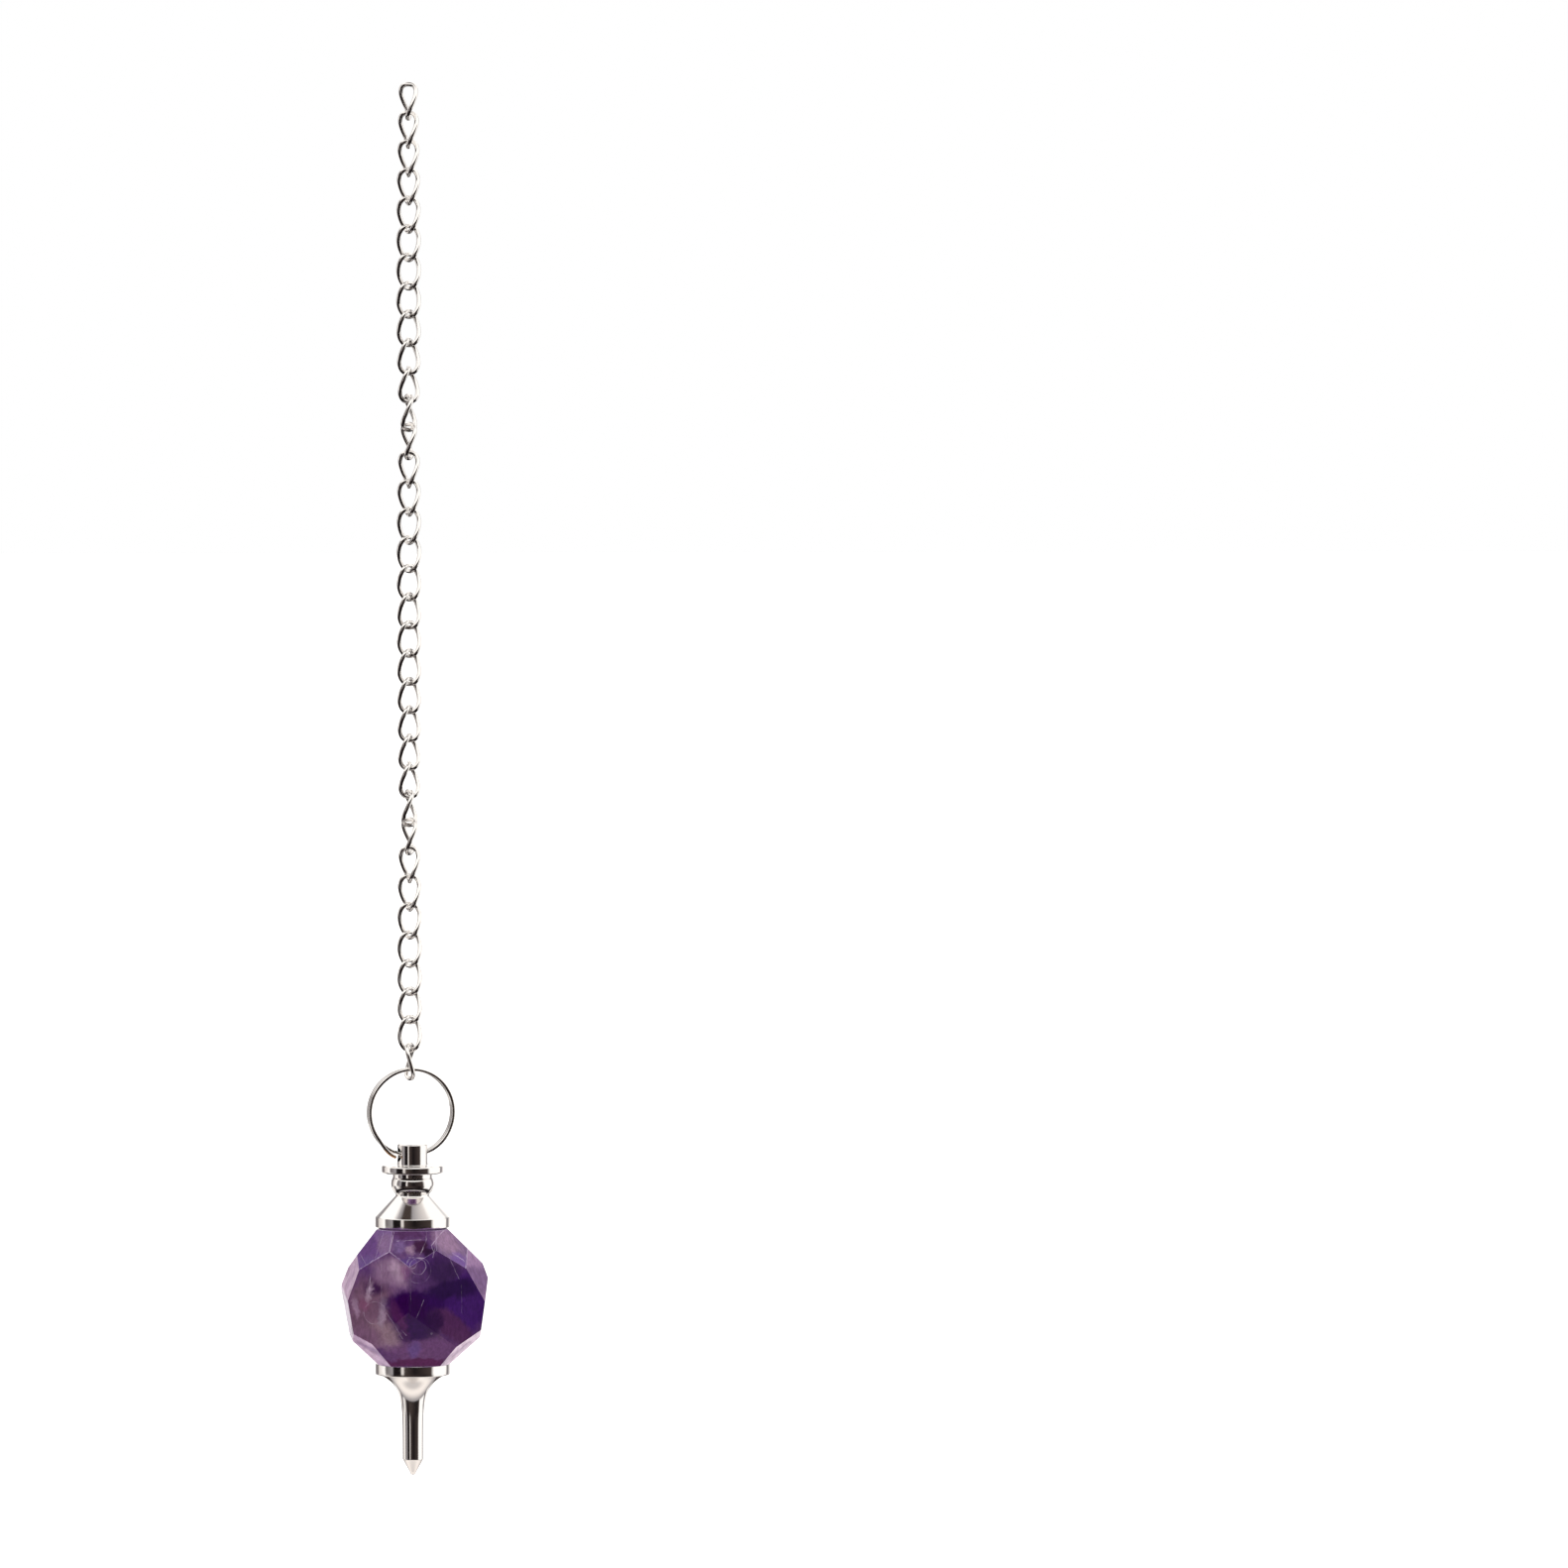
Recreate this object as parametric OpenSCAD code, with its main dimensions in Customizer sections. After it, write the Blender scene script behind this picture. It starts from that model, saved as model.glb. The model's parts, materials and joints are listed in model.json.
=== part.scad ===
// Pendulum pendant: a hand-faceted stone held between two turned metal caps.
// The upper cap hangs on a small split ring, and the ring hangs on a chain of
// twisted links.
// The origin is where the chain hangs, under the top of the first link's loop,
// and everything else hangs below it. The front is the side that faces -Y.

/* [Stone] */
// Radius that the facet distances are shares of
stone_r = 10; // [9:0.25:12]
// Height of the upper table above the girdle
stone_crown = 9.05; // [8:0.05:9.5]
// Depth of the lower table below the girdle
stone_base = 9.25; // [8:0.05:9.75]
// Film of glue between the stone and each cap
glue = 0.05; // [0.02:0.01:0.2]

/* [Upper cap] */
// Diameter of the straight band that sits on the stone
band_d = 10.1; // [8:0.1:12]
// Height of the band
band_h = 1.35; // [0.8:0.05:2.5]
// Width and height of the bevel above the band
band_bevel = 0.3; // [0.1:0.05:0.6]
// Height of the cone above the bevel
cone_h = 2.6; // [1.5:0.05:5]
// Diameter of the waist between the cone and the bulb
waist_d = 4.55; // [3.5:0.05:5.5]
// Height of the waist's groove
waist_h = 0.2; // [0.1:0.05:0.8]
// Widest diameter of the bulb
bulb_d = 5.8; // [5:0.1:7]
// Radius of the bulb's rounded side
bulb_side_r = 1.8; // [1.5:0.05:2.4]
// Diameter of the short neck between the bulb and the flange
neck_d = 5.3; // [4.5:0.1:6]
// Height of that neck
neck_h = 0.55; // [0.2:0.05:1]
// Diameter of the flange
flange_d = 8.3; // [6:0.1:10]
// Thickness of the flange
flange_h = 1.05; // [0.6:0.05:2]
// Bevel on the edges of the flange and of the stem's top
flange_bevel = 0.12; // [0.05:0.01:0.25]
// Diameter of the stem above the flange
stem_d = 4.05; // [3.2:0.05:5]
// Height from the flange to the middle of the cross hole
hole_rise = 1.45; // [1.3:0.05:2.5]
// Height from the middle of the cross hole to the stem's top
stem_above = 1.4; // [1.3:0.05:2.5]
// Diameter of the cross hole that the split ring passes through
hole_d = 2.0; // [2:0.05:2.3]

/* [Lower cap] */
// Thickness of the disc under the stone
disc_h = 1.5; // [0.8:0.05:3]
// Bevel on the disc's two edges
disc_bevel = 0.12; // [0.05:0.01:0.3]
// Diameter of the flare where it leaves the disc
flare_d = 9.0; // [7:0.1:9.5]
// Height in which the flare loses most of its width
flare_decay = 1.5; // [1:0.1:2.5]
// Diameter of the long point
point_d = 2.75; // [2:0.05:3.5]
// Length of the flare and the point down to the shoulder
point_h = 11.5; // [9:0.1:20]
// Height of the short cone below the shoulder
tip_h = 1.7; // [1:0.1:4]
// Diameter of the rounded end
tip_d = 0.85; // [0.5:0.05:1.5]

/* [Split ring] */
// Outer diameter of the ring
ring_d = 12; // [11:0.1:15]
// Thickness of its wire, measured towards the middle
ring_wire = 0.45; // [0.3:0.05:0.5]
// Width of the two turns side by side
ring_width = 1.5; // [1.1:0.05:1.55]
// Turn of the ring about the vertical, right side backwards
ring_yaw = 15; // [0:1:25]
// Gap at each end of the ring's wire
ring_slot = 0.2; // [0.1:0.05:0.4]
// Height of the ring above the bottom of the last link's loop
ring_seat = 0.7; // [0.65:0.05:0.9]

/* [Chain] */
// Number of links
link_count = 35; // [8:1:40]
// Outer length of a link
link_length = 5.18; // [4.8:0.02:7]
// Outer width of a link
link_width = 3.35; // [3.2:0.05:4]
// Diameter of a link's wire
link_wire = 0.6; // [0.4:0.05:0.65]
// Twist from one end of a link to the other, in degrees
link_twist = 90; // [70:5:100]
// Twist of the last link, which was bent the other way to hold the ring
last_link_twist = -60; // [-80:5:-40]
// Slack between one link and the next
link_slack = 0.19; // [0.17:0.01:0.3]

/* [Hang] */
// How far right of the chain the split ring's middle hangs
ring_shift = 0.15; // [0:0.05:0.3]
// How far right of the chain the stone and its caps hang
bob_shift = 0.35; // [0:0.05:0.5]

/* [Hidden] */
// Corners round a link's loop, and sides of its wire
LINK_CORNERS = 14;
LINK_SIDES = 6;
// How square the link's oval is: 2 is an ellipse, more has straighter sides
LINK_SQUARENESS = 2.5;
// Steps down the lower cap's flare
FLARE_STEPS = 10;
// Fineness of all turned work
$fn = 64;

// How the chain turns as it hangs. Columns: links above the last one, and the
// direction that such a link faces, in degrees about the vertical. The links
// between two rows turn evenly.
CHAIN_TURNS = [
    [0, 92],
    [1, 372],
    [2, 375],
    [4, 355],
    [7, 315],
    [10, 225],
    [15, 195],
    [16, 205],
    [18, 175],
    [21, 135],
    [24, 45],
    [28, -5],
    [32, -45],
    [34, -60]
];

// The stone's facets. Azimuth is counted from the front, towards the right.
// Elevation is counted from level, upwards. Distance from the stone's middle
// is a share of stone_r. Columns: azimuth, elevation, distance.
CROWN_FACETS = [
    [-50, 35, 1.015],
    [4, 42, 1.045],
    [50, 31, 0.985],
    [95, 45, 0.955],
    [140, 41, 0.98],
    [182, 42, 1.0],
    [222, 41, 0.98],
    [263, 37, 0.895]
];
SIDE_FACETS = [
    [-28, 2, 0.92],
    [30, 0, 0.845],
    [65, 20, 0.97],
    [90, -8, 0.97],
    [103, 19, 0.99],
    [150, 1, 0.9],
    [210, 0, 0.9],
    [255, -13, 0.865],
    [258, 23, 0.885],
    [278, -9, 0.94],
    [290, 16, 0.97]
];
BASE_FACETS = [
    [-55, -46, 1.05],
    [5, -32, 0.93],
    [62, -44, 1.04],
    [100, -48, 0.98],
    [140, -43, 0.99],
    [182, -38, 0.96],
    [222, -43, 0.99],
    [263, -45, 0.95]
];
FACETS = concat(CROWN_FACETS, SIDE_FACETS, BASE_FACETS);

// Heights down the chain
link_pitch = link_length - 2 * link_wire - link_slack;
first_link_z = link_wire - link_length / 2;
last_link_z = first_link_z - (link_count - 1) * link_pitch;

// Heights of the split ring and of what hangs on it
ring_inner_r = ring_d / 2 - ring_wire;
ring_z = last_link_z - link_length / 2 + link_wire + ring_seat - ring_inner_r;
// The wire curves up on both sides of the stem, so the hole sits lower than
// the ring's lowest point by what the curve and the wire's width ask for.
stem_reach = stem_d / 2 + bob_shift - ring_shift;
curve_rise = ring_inner_r - sqrt(pow(ring_inner_r, 2) - pow(stem_reach, 2));
hole_headroom = sqrt(pow(hole_d / 2, 2) - pow(ring_width / 2, 2));
ring_clearance = 0.08;
hole_z = ring_z - ring_inner_r + curve_rise + ring_clearance - hole_headroom;

// Heights of the upper cap above its seat
bevel_z = band_h + band_bevel;
waist_z = bevel_z + cone_h;
bulb_z = waist_z + waist_h + bulb_below();
neck_z = bulb_z + bulb_above();
flange_z = neck_z + neck_h;
stem_z = flange_z + flange_h;
cap_h = stem_z + hole_rise + stem_above;

// Heights of the stone and the lower cap
cap_seat_z = hole_z - hole_rise - stem_z;
girdle_z = cap_seat_z - glue - stone_crown;
disc_z = girdle_z - stone_base - glue;

function link_name(k) = k < 10 ? str("link_0", k) : str("link_", k);
function link_z(k) = first_link_z - (k - 1) * link_pitch;
function link_facing(k) = lookup(link_count - k, CHAIN_TURNS);
function twist_of(k) = k == link_count ? last_link_twist : link_twist;

// How far the bulb's rounded side runs below and above its widest place
function bulb_run(d) = sqrt(pow(bulb_side_r, 2) - pow(bulb_side_r - (bulb_d - d) / 2, 2));
function bulb_below() = bulb_run(waist_d);
function bulb_above() = bulb_run(neck_d);

// A power that keeps its base's sign, for the link's rounded oval
function signed_pow(x, p) = sign(x) * pow(abs(x), p);
function unit(v) = v / norm(v);

// The link's centre line at the angle t: [across, along]
function oval(t) = [
    (link_width - link_wire) / 2 * signed_pow(cos(t), 2 / LINK_SQUARENESS),
    (link_length - link_wire) / 2 * signed_pow(sin(t), 2 / LINK_SQUARENESS)
];
function turned(p, k) =
    let (a = link_facing(k) + twist_of(k) * p[1] / (link_length - link_wire))
    [p[0] * cos(a), p[0] * sin(a), p[1]];
function link_line(t, k) = turned(oval(t), k);

// One ring of points round the wire of link k, at the angle t of its loop
function wire_ring(t, k) =
    let (
        step = 180 / LINK_CORNERS,
        here = link_line(t, k),
        along = unit(link_line(t + step, k) - link_line(t - step, k)),
        out = unit(here - along * (here * along)),
        side = cross(along, out)
    )
    [for (j = [0:LINK_SIDES - 1])
        let (a = 360 * (j + 0.5) / LINK_SIDES)
        here + link_wire / 2 * (cos(a) * out + sin(a) * side)];

// A closed loop of wire from rings of points
module wire_loop(rings) {
    n = len(rings);
    m = len(rings[0]);
    points = [for (r = rings) each r];
    faces = [for (i = [0:n - 1]) for (j = [0:m - 1])
        let (
            a = i * m + j,
            b = i * m + (j + 1) % m,
            c = (i + 1) % n * m + (j + 1) % m,
            d = (i + 1) % n * m + j
        )
        each [[a, d, c], [a, c, b]]];
    polyhedron(points = points, faces = faces);
}

module link(k) {
    color("silver")
        translate([0, 0, link_z(k)])
            wire_loop([for (i = [0:LINK_CORNERS - 1])
                wire_ring(90 + 360 * i / LINK_CORNERS, k)]);
}

// The section of one turn of the split ring: a flat strip with round edges
module turn_section(turn_width) {
    flat = turn_width - ring_wire;
    square([ring_wire, flat], center = true);
    for (edge = [-1, 1])
        translate([0, edge * flat / 2])
            circle(d = ring_wire);
}

// A cut right through one of the two turns, at an angle from the ring's bottom
module turn_cut(angle, turn_side) {
    rotate([0, 0, angle - 90])
        translate([ring_inner_r - ring_wire, -ring_slot / 2, turn_side < 0 ? -ring_width : 0])
            cube([3 * ring_wire, ring_slot, ring_width]);
}

module split_ring() {
    turns_meet = 0.03;
    turn_width = ring_width / 2 + turns_meet / 2;
    color("silver")
        translate([ring_shift, 0, ring_z])
            rotate([90, 0, ring_yaw])
                difference() {
                    rotate_extrude()
                        translate([ring_d / 2 - ring_wire / 2, 0])
                            for (turn_side = [-1, 1])
                                translate([0, turn_side * (ring_width - turn_width) / 2])
                                    turn_section(turn_width);
                    turn_cut(-25, 1);
                    turn_cut(-4, -1);
                }
}

// Half the section of the bulb: a round side, filled to the axis
module bulb_section() {
    bottom = waist_z + waist_h;
    height = bulb_below() + bulb_above();
    intersection() {
        translate([0, bottom])
            square([bulb_d, height]);
        union() {
            translate([bulb_d / 2 - bulb_side_r, bulb_z])
                circle(r = bulb_side_r);
            translate([0, bottom])
                square([bulb_d / 2 - bulb_side_r, height]);
        }
    }
}

// Half the section of a disc with bevelled edges
module disc_section(r, h, bevel) {
    polygon([
        [0, 0],
        [r - bevel, 0],
        [r, bevel],
        [r, h - bevel],
        [r - bevel, h],
        [0, h]
    ]);
}

module top_cap_section() {
    band_r = band_d / 2;
    stem_r = stem_d / 2;
    polygon([
        [0, 0],
        [band_r, 0],
        [band_r, band_h],
        [band_r - band_bevel, bevel_z],
        [waist_d / 2, waist_z],
        [waist_d / 2, waist_z + waist_h],
        [0, waist_z + waist_h]
    ]);
    bulb_section();
    translate([0, neck_z])
        square([neck_d / 2, neck_h]);
    translate([0, flange_z])
        disc_section(flange_d / 2, flange_h, flange_bevel);
    polygon([
        [0, stem_z],
        [stem_r, stem_z],
        [stem_r, cap_h - flange_bevel],
        [stem_r - flange_bevel, cap_h],
        [0, cap_h]
    ]);
}

module top_cap() {
    color("gainsboro")
        translate([bob_shift, 0, cap_seat_z])
            difference() {
                rotate_extrude()
                    top_cap_section();
                translate([0, 0, stem_z + hole_rise])
                    rotate([0, 90, ring_yaw])
                        cylinder(d = hole_d, h = 2 * stem_d, center = true);
            }
}

// Everything beyond one facet's plane
module beyond(facet) {
    block = 4 * stone_r;
    rotate([-facet[1], 0, facet[0]])
        translate([-block / 2, -facet[2] * stone_r - block, -block / 2])
            cube(block);
}

module stone() {
    rough = 3 * stone_r;
    color("rebeccapurple")
        translate([bob_shift, 0, girdle_z])
            difference() {
                translate([-rough / 2, -rough / 2, -stone_base])
                    cube([rough, rough, stone_crown + stone_base]);
                for (facet = FACETS)
                    beyond(facet);
            }
}

// Depth and radius of the flare's steps, closer together near the disc
function flare_depth(i) = point_h * pow(i / FLARE_STEPS, 2);
function flare_r(depth) = (point_d + (flare_d - point_d) * exp(-depth / flare_decay)) / 2;

module point_cap_section() {
    shoulder = -disc_h - point_h;
    end_r = tip_d / 2;
    translate([0, -disc_h])
        disc_section(band_d / 2, disc_h, disc_bevel);
    polygon(concat(
        [
            [0, shoulder - tip_h],
            [end_r, shoulder - tip_h]
        ],
        [for (i = [FLARE_STEPS:-1:0])
            [flare_r(flare_depth(i)), -disc_h - flare_depth(i)]],
        [[0, -disc_h]]
    ));
    translate([0, shoulder - tip_h])
        intersection() {
            circle(r = end_r);
            translate([0, -end_r])
                square([end_r, 2 * end_r]);
        }
}

module point_cap() {
    color("gainsboro")
        translate([bob_shift, 0, disc_z])
            rotate_extrude()
                point_cap_section();
}

for (k = [1:link_count])
    link(k);
split_ring();
top_cap();
stone();
point_cap();
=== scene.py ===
"""Pendulum pendant: a hand-faceted amethyst between two silver-plated caps, on a split ring and a chain.

Every size is in millimetres until a mesh is made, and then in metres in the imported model's frame. Angles
are in degrees. The origin is under the top of the first link's loop, +Z is up, and the front of the pendant
faces -Y.
"""

from __future__ import annotations

import json
import logging
import math
from dataclasses import dataclass, field
from enum import Enum
from functools import cache
from typing import Sequence

import bmesh
import bpy
from bpy.types import (
    GeometryNodeTree, Material, Mesh, Node, NodeInputs, NodeOutputs, NodeSocket, NodeTree, Object, ShaderNodeTree,
)
from mathutils import Matrix, Vector

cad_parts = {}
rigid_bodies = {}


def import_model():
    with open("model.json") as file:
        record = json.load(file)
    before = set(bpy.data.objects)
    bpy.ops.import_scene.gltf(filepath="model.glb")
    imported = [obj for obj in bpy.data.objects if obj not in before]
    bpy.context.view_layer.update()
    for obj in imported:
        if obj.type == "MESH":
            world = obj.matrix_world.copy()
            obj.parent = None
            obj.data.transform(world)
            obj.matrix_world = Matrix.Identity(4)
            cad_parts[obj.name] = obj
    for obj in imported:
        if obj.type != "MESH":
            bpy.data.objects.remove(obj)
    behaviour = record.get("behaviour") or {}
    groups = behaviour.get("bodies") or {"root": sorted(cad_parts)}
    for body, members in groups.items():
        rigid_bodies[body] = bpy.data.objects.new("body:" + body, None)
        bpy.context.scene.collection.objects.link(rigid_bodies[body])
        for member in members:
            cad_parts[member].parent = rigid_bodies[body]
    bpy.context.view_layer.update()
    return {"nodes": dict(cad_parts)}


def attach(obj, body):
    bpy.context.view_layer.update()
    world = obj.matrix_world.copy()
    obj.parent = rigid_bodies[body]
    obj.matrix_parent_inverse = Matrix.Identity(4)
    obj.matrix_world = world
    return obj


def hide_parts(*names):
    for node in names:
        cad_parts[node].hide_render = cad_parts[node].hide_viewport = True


LOG = logging.getLogger("pendant")
MM = 0.001
ON_AXIS = 1e-6  # a radius in millimetres that counts as none
CRACK_CORE = 0.3  # the share of a crack's width where it is at full strength
ROW_MARGIN = 0.3  # how near a face's row has to be to count as a row of facets
CHORD_REACH = 0.49  # the most of an edge that one corner's rounding takes


# ---------------------------------------------------------------- wiring nodes


class Wiring:
    """Adds nodes to one tree and joins them."""

    def __init__(self, tree: NodeTree) -> None:
        """Starts wiring a node tree."""
        self.tree = tree

    @classmethod
    def group(cls, name: str, kind: str, inputs: Sequence[tuple[str, ...]],
              outputs: Sequence[tuple[str, ...]]) -> tuple[Wiring, NodeOutputs, NodeInputs]:
        """Starts a node group with named inputs and outputs.

        Args:
            name: the group's name.
            kind: ShaderNodeTree or GeometryNodeTree.
            inputs: rows of a socket type and the names of the inputs that have it.
            outputs: the same for the outputs.

        Returns:
            The group's wiring, the sockets that give its inputs, and the ones that take its outputs.
        """
        tree = bpy.data.node_groups.new(name, kind)
        for way, rows in (("INPUT", inputs), ("OUTPUT", outputs)):
            for socket, *labels in rows:
                for label in labels:
                    tree.interface.new_socket(label, in_out=way, socket_type=f"NodeSocket{socket}")
        made = cls(tree)
        return made, made.node("NodeGroupInput").outputs, made.node("NodeGroupOutput").inputs

    def node(self, kind: str, **settings: object) -> Node:
        """Adds one node.

        Args:
            kind: the node's type name.
            settings: properties of the node, such as operation.

        Returns:
            The new node.
        """
        made = self.tree.nodes.new(kind)
        for name, value in settings.items():
            setattr(made, name, value)
        return made

    def feed(self, socket: NodeSocket, value: object) -> None:
        """Joins a socket to an output, or sets it to a plain value.

        Args:
            socket: the input to feed.
            value: an output socket or a value.
        """
        if isinstance(value, NodeSocket):
            self.tree.links.new(value, socket)
        elif value is not None:
            socket.default_value = value

    def math(self, operation: str, *values: object) -> NodeSocket:
        """One Math node.

        Args:
            operation: the node's operation, such as MULTIPLY.
            values: outputs or numbers, in the node's order.

        Returns:
            The result.
        """
        made = self.node("ShaderNodeMath", operation=operation)
        for socket, value in zip(made.inputs, values):
            self.feed(socket, value)
        return made.outputs[0]

    def vector(self, operation: str, *values: object) -> NodeSocket:
        """One Vector Math node, as math() does.

        Args:
            operation: the node's operation, such as ADD.
            values: outputs or vectors, in the node's order.

        Returns:
            The result: a number for DOT_PRODUCT, DISTANCE and LENGTH, or else a vector.
        """
        made = self.node("ShaderNodeVectorMath", operation=operation)
        for socket, value in zip(made.inputs, values):
            self.feed(socket, value)
        single = operation in {"DOT_PRODUCT", "DISTANCE", "LENGTH"}
        return made.outputs["Value" if single else "Vector"]

    def spread(self, value: object, low: float, high: float, to_low: object = 0.0, to_high: object = 1.0,
               smooth: bool = True) -> NodeSocket:
        """Maps a number from one range onto another and stops at its ends.

        Args:
            value: the number to map.
            low: where the range starts.
            high: where it ends.
            to_low: the result at the start.
            to_high: the result at the end.
            smooth: True for an eased passage.

        Returns:
            The mapped number.
        """
        made = self.node("ShaderNodeMapRange", interpolation_type="SMOOTHSTEP" if smooth else "LINEAR")
        for socket, item in zip(made.inputs, (value, low, high, to_low, to_high)):
            self.feed(socket, item)
        return made.outputs[0]

    def mix(self, share: object, first: object, second: object, blend: str = "MIX") -> NodeSocket:
        """Mixes two colours.

        Args:
            share: how much of the second colour shows, 0 to 1.
            first: the first colour.
            second: the second colour.
            blend: the way of mixing.

        Returns:
            The mixed colour.
        """
        made = self.node("ShaderNodeMix", data_type="RGBA", blend_type=blend)
        self.feed(made.inputs[0], share)
        self.feed(made.inputs[6], first)
        self.feed(made.inputs[7], second)
        return made.outputs[2]

    def noise(self, place: object, scale: float, detail: float = 2.0, rough: float = 0.5,
              distortion: float = 0.0) -> Node:
        """A noise texture.

        Args:
            place: the coordinates to read.
            scale: its scale per unit of them.
            detail: its octaves.
            rough: how strong the fine octaves are.
            distortion: how far it is warped.

        Returns:
            The noise node.
        """
        made = self.node("ShaderNodeTexNoise")
        given = {"Vector": place, "Scale": scale, "Detail": detail, "Roughness": rough, "Distortion": distortion}
        for name, value in given.items():
            self.feed(made.inputs[name], value)
        return made

    def fed(self, kind: str, inputs: dict[str, object], **settings: object) -> NodeSocket:
        """Adds one node and feeds its named inputs.

        Args:
            kind: the node's type name.
            inputs: outputs or values by the input's name.
            settings: properties of the node, such as mode.

        Returns:
            The node's first output.
        """
        made = self.node(kind, **settings)
        for name, value in inputs.items():
            self.feed(made.inputs[name], value)
        return made.outputs[0]

    def point(self, x: object = None, y: object = None, z: object = None) -> NodeSocket:
        """Joins three numbers into a vector, where one that isn't given is 0."""
        return self.fed("ShaderNodeCombineXYZ", {"X": x, "Y": y, "Z": z})

    def round_point(self, radius: object, angle: object, height: object) -> NodeSocket:
        """A point at an angle about the Z axis.

        Args:
            radius: its distance from the axis.
            angle: its angle, in radians.
            height: its height.

        Returns:
            The point.
        """
        x = self.math("MULTIPLY", radius, self.math("COSINE", angle))
        y = self.math("MULTIPLY", radius, self.math("SINE", angle))
        return self.point(x, y, height)

    def parts(self, vector: NodeSocket) -> Sequence[NodeSocket]:
        """Takes a vector apart.

        Args:
            vector: the vector.

        Returns:
            Its three numbers.
        """
        made = self.node("ShaderNodeSeparateXYZ")
        self.feed(made.inputs[0], vector)
        return made.outputs

    def objects(self) -> NodeSocket:
        """The Object coordinates, in metres."""
        return self.node("ShaderNodeTexCoord").outputs["Object"]

    def attribute(self, name: str, output: str) -> NodeSocket:
        """One output, such as Fac or Color, of a mesh's attribute."""
        return self.node("ShaderNodeAttribute", attribute_name=name).outputs[output]

    def in_metal(self, geometry: object, metal: object) -> NodeSocket:
        """Realizes a tree's instances and gives them their material."""
        real = self.fed("GeometryNodeRealizeInstances", {"Geometry": geometry})
        return self.fed("GeometryNodeSetMaterial", {"Geometry": real, "Material": metal})


def new_material(name: str, fixed: dict[str, object]) -> tuple[Material, Wiring, Node]:
    """Starts a material.

    Args:
        name: its name.
        fixed: the values that are the same all over the surface, by the socket's name.

    Returns:
        The material, its wiring and its Principled BSDF.
    """
    material = bpy.data.materials.new(name)
    material.use_nodes = True
    surface = material.node_tree.nodes["Principled BSDF"]
    for label, value in fixed.items():
        surface.inputs[label].default_value = value
    return material, Wiring(material.node_tree), surface


# ---------------------------------------------------------------- making meshes


def finished(name: str, mesh: Mesh, metals: Sequence[Material] = ()) -> Object:
    """Puts a mesh into the scene as an object at the origin.

    Args:
        name: the object's name.
        mesh: its mesh, already in place.
        metals: its materials, where the mesh has none yet.

    Returns:
        The new object.
    """
    mesh.name = name
    for metal in metals:
        mesh.materials.append(metal)
    made = bpy.data.objects.new(name, mesh)
    bpy.context.scene.collection.objects.link(made)
    return made


def evaluated_mesh(source: Object) -> Mesh:
    """The plain mesh that an object's modifiers make. The object itself is removed.

    Args:
        source: the object with its modifiers.

    Returns:
        The new mesh.
    """
    graph = bpy.context.evaluated_depsgraph_get()
    mesh = bpy.data.meshes.new_from_object(source.evaluated_get(graph))
    bpy.data.objects.remove(source)
    return mesh


def poured(name: str, shape: bmesh.types.BMesh) -> Mesh:
    """Pours an edited shape into a new mesh and frees it.

    Args:
        name: the mesh's name.
        shape: the edited shape.

    Returns:
        The new mesh.
    """
    mesh = bpy.data.meshes.new(name)
    shape.to_mesh(mesh)
    shape.free()
    return mesh


def grown(name: str, mesh: Mesh, tree: GeometryNodeTree, values: dict[str, object]) -> Mesh:
    """Runs a geometry node tree on a mesh.

    Args:
        name: a name for the passing object.
        mesh: the mesh that the tree starts from.
        tree: the tree.
        values: the tree's inputs by name.

    Returns:
        The plain mesh that the tree makes.
    """
    carrier = finished(name, mesh)
    nodes = carrier.modifiers.new("Grow", "NODES")
    nodes.node_group = tree
    for item in tree.interface.items_tree:
        if item.item_type == "SOCKET" and item.in_out == "INPUT" and item.name in values:
            nodes[item.identifier] = values[item.name]
    carrier.update_tag()
    return evaluated_mesh(carrier)


@dataclass(frozen=True)
class Corner:
    """One corner of a turned profile: its radius and height, and the radius of its rounding."""

    r: float
    z: float
    rounding: float = 0.0


def rounded(corners: Sequence[Corner], steps: int = 5) -> list[tuple[float, float]]:
    """Rounds the corners of an open profile.

    Args:
        corners: the profile's corners in order.
        steps: how many chords each rounding has.

    Returns:
        The profile's points.
    """
    points: list[tuple[float, float]] = []
    for i, corner in enumerate(corners):
        here = Vector((corner.r, corner.z))
        if corner.rounding <= 0 or i in (0, len(corners) - 1):
            points.append((here.x, here.y))
            continue
        before = Vector((corners[i - 1].r, corners[i - 1].z)) - here
        after = Vector((corners[i + 1].r, corners[i + 1].z)) - here
        half = before.angle(after) / 2
        reach = min(corner.rounding / math.tan(half), CHORD_REACH * before.length, CHORD_REACH * after.length)
        radius = reach * math.tan(half)
        first, second = before.normalized(), after.normalized()
        centre = here + (first + second).normalized() * (radius / math.sin(half))
        start, end = here + first * reach - centre, here + second * reach - centre
        turn = start.angle_signed(end)
        for k in range(steps + 1):
            arm = start.copy()
            arm.rotate(Matrix.Rotation(-turn * k / steps, 2))
            points.append((centre.x + arm.x, centre.y + arm.y))
    return points


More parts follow.
